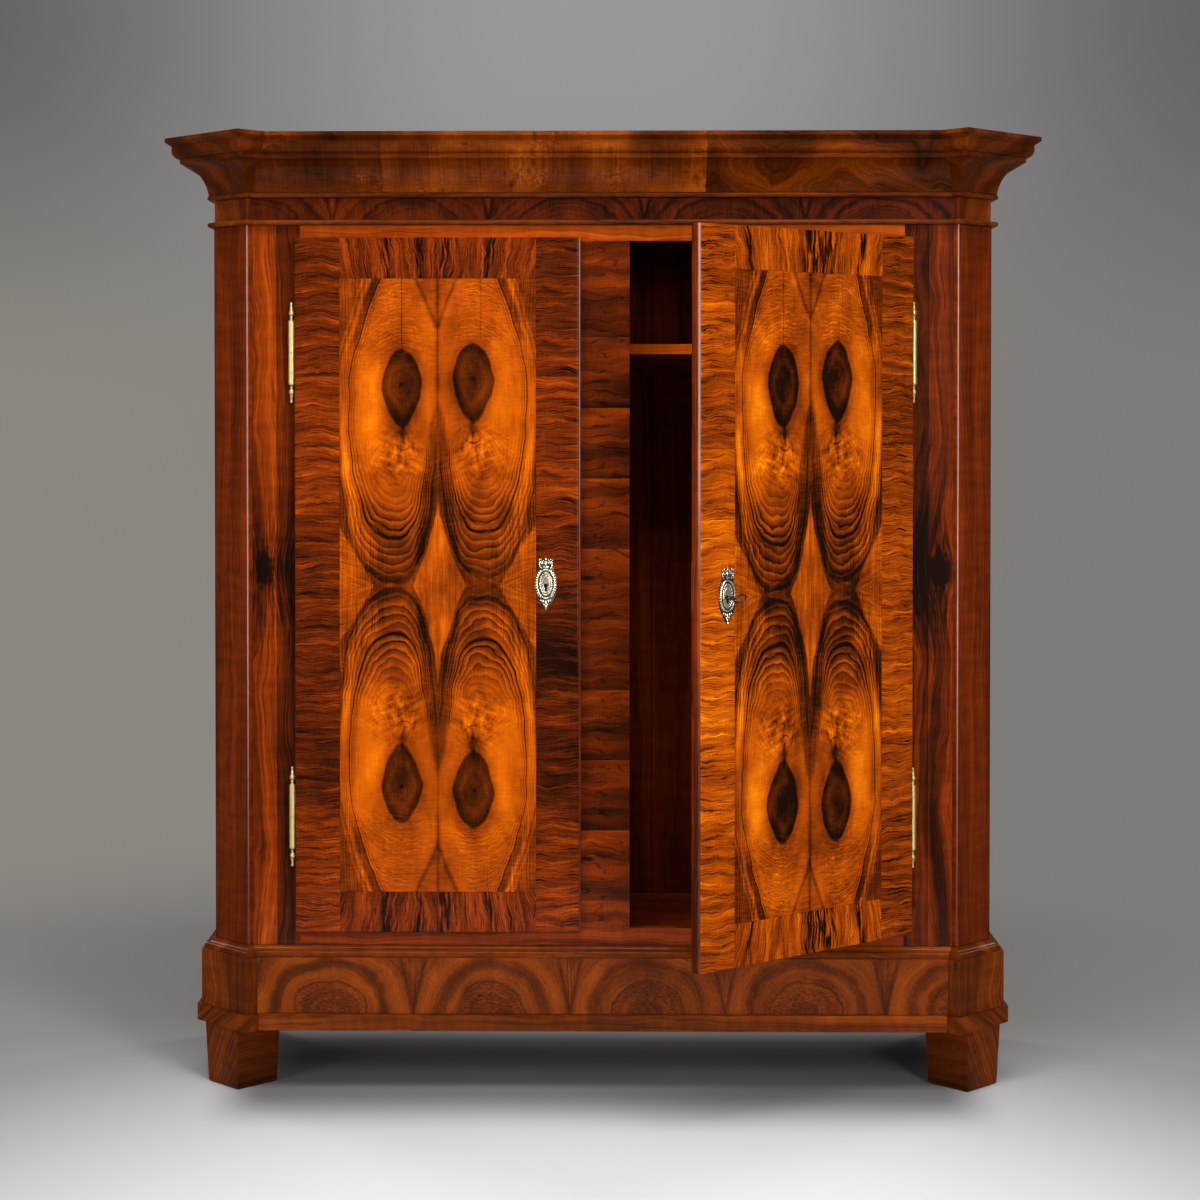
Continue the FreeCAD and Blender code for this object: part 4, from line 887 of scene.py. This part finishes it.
# Figures of the front's veneers, each as a tone worked out from a paint
STILE_STRIP_X = 683
STILE_KNOT = (708, 1092)
CROWN_SEAMS = (-459, 217)
FRIEZE_VEE, FRIEZE_STEP = -567, 329
PLINTH_EYE, PLINTH_STEP = -566, 331
POST_PATCH = 148
BACK_BOARDS = 7
boards_low, boards_high = node_box("back_boards")
BOARDS_HALF = boards_high.x
BOARD_PITCH = 2 * BOARDS_HALF / BACK_BOARDS
TONGUE_HALF_X, TONGUE_HALF_Y, TONGUE_INSET = 0.4, 3, 1
FRIEZE_Z = node_box("frieze_front")[0].z
PLINTH_Z = node_box("plinth_front")[0].z


def stile_tone(p):
    side_x = abs(p.x)
    push, dark = knot(p, side_x, p.z, STILE_KNOT, 20, 42)
    tone = walnut(p, p.z, p.x + push, 3.0, wander=44) - p.step(p.x, -10, 10) * 0.09
    black = p.step(p.noise(p.z / 60, (p.x + push) / 5, 5.0, detail=3), -0.3, 0.2) * p.near(p.z, 1080, 210)
    strip = p.step(side_x, STILE_STRIP_X + 1, STILE_STRIP_X - 1)
    return tone - 0.03 - dark * 0.45 - black * 0.3 - strip * 0.16 - p.near(side_x, STILE_STRIP_X, 1.4) * 0.2


def pilaster_tone(p):
    return walnut(p, p.z, (abs(p.x) + p.y) * 0.7, 7.0, size=1.1, force=0.5) - 0.07


def pilaster_nose_highlight(p):
    # Painted highlight: a pale line along the rounded nose of each pilaster, fainter towards the bottom
    return p.near(abs(p.x), 744, 2.3) * p.step(p.y, -5, -8) * (p.step(p.z, 300, 950) * 0.75 + 0.1)


def side_tone(p):
    return walnut(p, p.z, p.y, 11.0, size=1.9, wander=90, force=0.75) - 0.03


def swirled(p, along, across, seed, force=1.0):
    """Figured veneer, its grain along one way in places and bent in others."""
    bend = p.noise(across / 220, along / 150, seed) * 110 + p.noise(across / 70, along / 60, seed + 1) * 18
    way = across + bend
    bands = p.noise(along / 260, way / 50, seed + 2, detail=3)
    threads = p.noise(along / 200, way / 4.4, seed + 3, detail=4, rough=0.7)
    growth = p.lines(along / 300, way / 20, seed + 4, 0.035)
    silk = p.noise(along / 3, across / 5, seed + 5)
    return 0.5 + (bands * 0.5 + threads * 0.24 - growth * 0.1) * force + silk * 0.12


def burr(p, x, fall, seed):
    """Clouded veneer with curls in places and a shimmer across it."""
    cloud = p.noise(x / 130, fall / 90, seed, detail=3) * 0.5
    curled = p.step(p.noise(x / 90, fall / 70, seed + 1), 0.0, 0.3)
    bend_x = p.noise(x / 26, fall / 20, seed + 2, detail=3) * 34
    bend_z = p.noise(x / 24, fall / 22, seed + 3, detail=3) * 26
    curls = p.noise((x + bend_x) / 12, (fall + bend_z) / 7, seed + 4, detail=3) * curled * 0.44
    shimmer = p.noise(x / 2.6, fall / 46, seed + 5, detail=3) * 0.16
    ripple = p.noise(x / 20, fall / 2.6, seed + 6, detail=3) * 0.14
    dark = p.step(p.noise(x / 34, fall / 40, seed + 7), 0.2, 0.5) * 0.26
    return 0.55 + cloud + curls + shimmer + ripple - dark


def crown_tone(p):
    left = p.step(p.x, CROWN_SEAMS[0] + 1, CROWN_SEAMS[0] - 1)
    right = p.step(p.x, CROWN_SEAMS[1] - 1, CROWN_SEAMS[1] + 1)
    fall = p.z + p.y * 0.6
    middle = burr(p, p.x, fall, 13.0)
    flowing = swirled(p, p.x * 0.9, fall * 1.2, 43.0)
    plain = burr(p, p.x * 0.5, fall, 60.0) - 0.06
    tone = middle + (flowing - middle) * right + (plain - middle) * left
    seam = p.near(p.x, CROWN_SEAMS[0], 1.6) + p.near(p.x, CROWN_SEAMS[1], 1.6)
    return tone - 0.05 - left * 0.08 - right * 0.08 - seam * 0.1 - p.step(abs(p.x), 660, 760) * 0.04


def crown_side_tone(p):
    return swirled(p, p.z + abs(p.x) * 0.3, p.y, 15.0, force=0.7) - 0.13


def beside_nearest(p, first, pitch, wave, seed):
    """Distance along the width to the nearest of a row of places, which waver a little."""
    slot = p.x + p.noise(p.x / wave, 0.0, seed) * 30 - first
    return abs(p.fract(slot / pitch + 0.5) - 0.5) * pitch


def frieze_tone(p):
    """Arches between small wedges."""
    beside = beside_nearest(p, FRIEZE_VEE, FRIEZE_STEP, 300, 17.0)
    rise = p.z - FRIEZE_Z
    centre = FRIEZE_STEP / 2
    reach = (((centre - beside) / 1.5) ** 2 + (rise + 26) ** 2) ** 0.5 + p.noise(p.x / 40, p.z / 20, 18.0) * 8
    tone = p.noise(reach / 19, p.x / 900, 19.0, detail=3) * 0.34 + 0.27
    tone = tone - p.lines(reach / 24, 0.0, 20.0, 0.04) * 0.1 + p.noise(p.x / 4, p.z / 30, 22.0) * 0.14
    tone = tone + p.noise(p.x / 26, p.z / 90, 21.0) * 0.16
    wedge = p.step(beside - rise * 0.24, 2, -2)
    edge = p.near(beside - rise * 0.24, 0, 7)
    return tone + wedge * 0.12 - edge * 0.24


def plinth_tone(p):
    """Onion arches with a wedge between each two."""
    beside = beside_nearest(p, PLINTH_EYE, PLINTH_STEP, 500, 24.0)
    rise = p.most(p.z - PLINTH_Z, 0)
    wobble = p.noise(p.x / 70, p.z / 60, 25.0) * 16 + p.noise(p.x / 18, p.z / 16, 28.0) * 1.6
    reach = (beside ** 2.2 + (rise * 1.08) ** 2.2) ** (1 / 2.2) + wobble
    onion = p.step(reach, 80, 66)
    gold = p.near(reach, 142, 22) * 0.1 + p.near(reach, 92, 12) * 0.05
    arch = p.near(reach, 74, 4) * 0.12 + p.near(reach, 115, 18) * 0.12
    bands = p.noise(reach / 26 + p.x / 900, p.z / 500, 26.0) * 0.2
    threads = p.noise(reach / 3, p.x / 70, 27.0, detail=3, rough=0.65) * 0.17
    side = PLINTH_STEP / 2 - beside - rise * 0.22
    wedge = p.step(side, 2, -2)
    streak = p.noise(p.x / 3.5, p.z / 120, 29.0) * wedge * 0.3
    curl = p.noise(p.x / 9, rise / 3, 30.0) * onion * 0.26
    silk = p.noise(p.x / 3, p.z / 9, 23.0) * 0.12 + p.noise(p.x / 60, p.z / 90, 22.0) * 0.16
    tone = 0.43 + gold - arch + bands + threads - wedge * 0.05 - p.near(side, 0, 7) * 0.12
    return tone + streak + curl + silk - onion * 0.07 - p.near(beside, 0, 1.2) * 0.08


def post_tone(p):
    """Crosswise patches, each darker toward its foot, some with a knot."""
    slot = p.z / POST_PATCH + 0.33
    share = p.fract(slot)
    own = p.chance(p.floor(slot), 31.0) - 0.5
    push, dark = knot(p, share * POST_PATCH, p.x, (88, -30), 5, 16)
    knotty = p.step(own, 0.1, 0.2)
    way = p.z + own * 500 + push * knotty + p.noise(p.x / 60, p.z / 60, 32.0) * 16
    bands = p.noise(p.x / 240, way / 34, 33.0, detail=3) * 0.5
    threads = p.noise(p.x / 150, way / 4, 34.0, detail=3) * 0.16
    growth = p.lines(p.x / 150, way / 22, 35.0, 0.04) * 0.16
    silk = p.noise(p.x / 3, p.z / 30, 36.0) * 0.08
    lit = (share - 0.5) * 0.24
    tone = 0.4 + own * 0.16 + bands + threads - growth + silk + lit
    return tone - dark * knotty * 0.3 - p.near(share, 0.0, 0.012) * 0.1


def foot_tone(p):
    lean = p.z * 0.5 + (abs(p.x) + p.y) * 0.6
    return walnut(p, p.z - abs(p.x) * 0.5, lean, 27.0, size=0.9, wander=24, force=0.7) - 0.12


def lengthwise(seed, lift, size=0.8, force=0.7):
    """A tone whose grain runs straight along the width."""
    return lambda p: walnut(p, p.x, p.z + p.y, seed, size, force=force) + lift


def trim_side_tone(p):
    return walnut(p, p.y, p.z + abs(p.x), 38.0, size=0.8, force=0.7) - 0.08


def rail_tone(p):
    high = p.step(p.z, DOOR_MID_Z, DOOR_MID_Z + 50)
    return walnut(p, p.x, p.z, 39.0, size=0.7, force=0.7) + high * 0.18 - 0.02


def boards_tone(p):
    """Plain boards, each a little different, with dark joints."""
    push, dark = knot(p, p.x, p.z, (262, 760), 7, 12)
    slot = (p.x + BOARDS_HALF) / BOARD_PITCH
    own = p.chance(p.floor(slot), 42.0) - 0.5
    joint = p.near(abs(p.fract(slot) - 0.5), 0.5, 0.012)
    plain = walnut(p, p.z, p.x + p.y + push + own * 300, 40.0, size=1.7, force=0.5)
    return plain + own * 0.16 - 0.06 - dark * 0.3 - joint * 0.24


BOARDS = lengthwise(45.0, -0.06, 1.7, 0.5)


def both(*names):
    """The left and the right node of each of these names."""
    return [name + "_" + word for name in names for word in SIDES]


def dress():
    """Gives each CAD node its wood."""
    matt = {"gloss": 0.0, "rough": 0.7, "arris": 0.8}
    worn = {
        veneer("stile_veneer", stile_tone, 1.0): both("stile"),
        veneer("pilaster_veneer", pilaster_tone, 2.0, painted_highlight=pilaster_nose_highlight, arris=5): both("pilaster"),
        veneer("side_veneer", side_tone, 3.0, BROWN): both(
            "case_side", "plinth_side", "plinth_corner", "frieze",
        ),
        veneer("crown_veneer", crown_tone, 4.0, BROWN): ["cornice_front"],
        veneer("crown_side_veneer", crown_side_tone, 5.0, BROWN): both("cornice"),
        veneer("frieze_veneer", frieze_tone, 6.0): ["frieze_front"],
        veneer("plinth_veneer", plinth_tone, 7.0, BROWN): ["plinth_front"],
        veneer("trim_wood", lengthwise(37.0, -0.03), 8.0, BROWN): [
            "architrave_beads", "cornice_beads", "plinth_moulding_front", "base_band_front",
        ],
        veneer("trim_side_wood", trim_side_tone, 9.0, BROWN): both("plinth_moulding", "base_band"),
        veneer("foot_veneer", foot_tone, 10.0, BROWN): both("foot_front", "foot_rear"),
        veneer("rail_veneer", rail_tone, 11.0): ["top_rail", "bottom_rail"],
        veneer("post_veneer", post_tone, 12.0): ["centre_post"],
        veneer("inside_boards", boards_tone, 13.0, **matt): ["back_boards"],
        veneer("lengthwise_boards", BOARDS, 16.0, **matt): both("peg_rail") + [
            "case_floor", "case_top", "shelf_bearers", "dust_board", "cornice_back", "plinth_back",
            "base_rail_back",
        ],
        veneer("shelf_wood", lengthwise(41.0, 0.24), 14.0, **matt): ["hat_shelf"],
    }
    for paint, names in worn.items():
        for name in names:
            paint.wear(NODES[name])
    for word, side in SIDES.items():
        door_veneer(word, side).wear(NODES[word + "_door"])


def tongues():
    """Loose tongues in the joints of the back, which keep the light out."""
    made = Solid()
    middle = (boards_low.y + boards_high.y) / 2
    for i in range(1, BACK_BOARDS):
        joint_x = BOARD_PITCH * i - BOARDS_HALF
        low = joint_x - TONGUE_HALF_X, middle - TONGUE_HALF_Y, boards_low.z + TONGUE_INSET
        high = joint_x + TONGUE_HALF_X, middle + TONGUE_HALF_Y, boards_high.z - TONGUE_INSET
        made.block(low, high)
    paint = veneer("tongue_wood", BOARDS, 17.0, gloss=0.0, rough=0.8)
    made.done("back_board_tongues", "case", "carcass_wood", [paint])


def metals():
    """Brass, silver, steel and iron, each as a pair of paints: at rest and swung."""
    front = DOOR_FRONT_Y - FACE_Y
    rows = (
        ("hinge_brass", (204, 184, 124), (92, 66, 26), 0.5, 1.0),
        ("silvered_brass", (240, 230, 204), (44, 34, 20), 0.24, 2.0, 0.3, (front - 1.0, front - 2.6)),
        ("lock_steel", (168, 162, 156), (70, 62, 56), 0.45, 3.0),
        ("key_steel", (64, 58, 54), (16, 12, 10), 0.32, 4.0),
    )
    return [[metal(swings, *row) for swings in (False, True)] for row in rows]


def metal_pieces():
    brass, silver, steel, iron = metals()
    brass[0].wear(NODES["hinge_rings"])
    for word, side in SIDES.items():
        for part in ("_lock_case", "_lock_bolt"):
            steel[side == RIGHT].wear(NODES[word + part])
        steel[0].wear(NODES[word + "_strike_plate"])
        escutcheon(word, side, silver)
    hinges(brass)
    key(iron)
    fittings(steel, iron)


# Studio
# The backdrop's colour at the left and at the right; the right one is darker, a painted shadow of the
# wardrobe on the backdrop
BACKDROP = screen(140, 135, 128), screen(126, 123, 120)
# On the floor: a painted pool of light in front, painted shade beneath the wardrobe, the start of the
# backdrop
LIGHT_POOL_Y, LIGHT_POOL_EDGE = -1200, (500, 2100)
SHADE_X, SHADE_FRONT, SHADE_BACK = (840, 700), (-380, -80), (450, 330)
FAR_EDGE = 1500, 3600


def floor():
    """A pale floor that greys away from the object: a painted pool of light in front, with painted shade
    beneath the wardrobe.
    """
    bm = bmesh.new()
    bmesh.ops.create_circle(bm, cap_ends=True, segments=96, radius=60)
    mesh = bpy.data.meshes.new("floor")
    bm.to_mesh(mesh)
    bm.free()
    piece = link("floor", mesh)
    p = Paint("floor")
    world_y = p.y + FACE_Y
    # painted pool of light: pale in front of the wardrobe, greying further off
    light_pool = (p.x ** 2 + (world_y - LIGHT_POOL_Y) ** 2) ** 0.5
    colour = p.mix(p.step(light_pool, *LIGHT_POOL_EDGE), screen(229, 229, 233), screen(146, 142, 139))
    cloud = p.noise(p.x / 700, p.y / 700, 1.0, detail=3)
    # painted shade under the wardrobe
    beneath = p.step(abs(p.x), *SHADE_X) * p.step(world_y, *SHADE_FRONT) * p.step(world_y, *SHADE_BACK)
    p.set(Base_Color=p.shade(colour, (1 + cloud * 0.03) * (1 - beneath * 0.66)))
    p.set(Roughness=0.8, Specular_IOR_Level=0.0)
    away = (p.x ** 2 + world_y ** 2) ** 0.5
    # the backdrop beyond the floor, darker to the right: a painted shadow of the wardrobe
    backdrop = p.mix(p.step(p.x / away, -0.3, 0.3), *BACKDROP)
    glow = p.node("Emission", {"Color": backdrop})
    far = p.step(away, *FAR_EDGE) * p.rays("Is Camera Ray", "Is Glossy Ray")
    out = p.tree.nodes["Material Output"]
    p.feed(out.inputs["Surface"], p.join(far, p.shader.outputs[0], glow.outputs[0]))
    p.wear(piece)


def world():
    """Grey backdrop for the camera, with painted light and shadow on it, and soft light for the object."""
    made = bpy.data.worlds.new("studio")
    bpy.context.scene.world = made
    made.use_nodes = True
    g = Graph(made.node_tree)
    light = made.node_tree.nodes["Background"]
    light.inputs["Color"].default_value = screen(206, 206, 210)
    light.inputs["Strength"].default_value = 0.25
    x, y, z = g.split(g.node("TexCoord").outputs["Generated"])
    # painted light on the backdrop: brighter in the middle above; low down, darker to the right, a painted
    # shadow of the wardrobe
    rise = g.step(z, 0.0, 0.16)
    aside = g.step(abs(x), 0.02, 0.26)
    upper = g.mix(aside, screen(152, 152, 156), screen(101, 99, 99))
    low = g.mix(g.step(x, -0.3, 0.3), *BACKDROP)
    back = g.node("Background", {"Color": g.mix(rise, low, upper)})
    seen = g.rays("Is Camera Ray", "Is Glossy Ray", "Is Transmission Ray")
    out = made.node_tree.nodes["World Output"]
    g.feed(out.inputs["Surface"], g.join(seen, light.outputs[0], back.outputs[0]))


def lamp(name, place, aim, size, power, spread=180):
    data = bpy.data.lights.new(name, "AREA")
    data.shape = "RECTANGLE"
    data.size, data.size_y = size
    data.energy = power
    data.spread = math.radians(spread)
    made = link(name, data)
    made.location = place
    made.rotation_euler = (Vector(aim) - Vector(place)).to_track_quat("-Z", "Y").to_euler()
    made.visible_camera = False


def lamps():
    middle = (0, 0, 1.05)
    lamp("right_light", (2.1, -4.3, 1.9), middle, (1.2, 3.0), 50, 100)
    lamp("left_light", (-3.5, -3.7, 1.9), middle, (1.2, 3.0), 31, 100)
    lamp("top_light", (0, -1.8, 4.4), (0, -0.4, 1.0), (3.2, 1.6), 125)
    for side in SIDES.values():
        lamp("back_light", (side * 4.3, 4.3, 3.3), middle, (1.6, 2.6), 110)


def camera():
    data = bpy.data.cameras.new("camera")
    data.sensor_width = 36
    data.lens = 73.265
    data.shift_x, data.shift_y = 0.0314, -0.1172
    made = link("camera", data)
    made.location = (-0.01263, -5.1594, 1.41198)
    made.rotation_euler = (math.radians(90 - 0.99), math.radians(0.01), math.radians(0.79))
    bpy.context.scene.camera = made


camera()
world()
lamps()
floor()
dress()
metal_pieces()
tongues()
bpy.context.scene.view_settings.view_transform = "Standard"
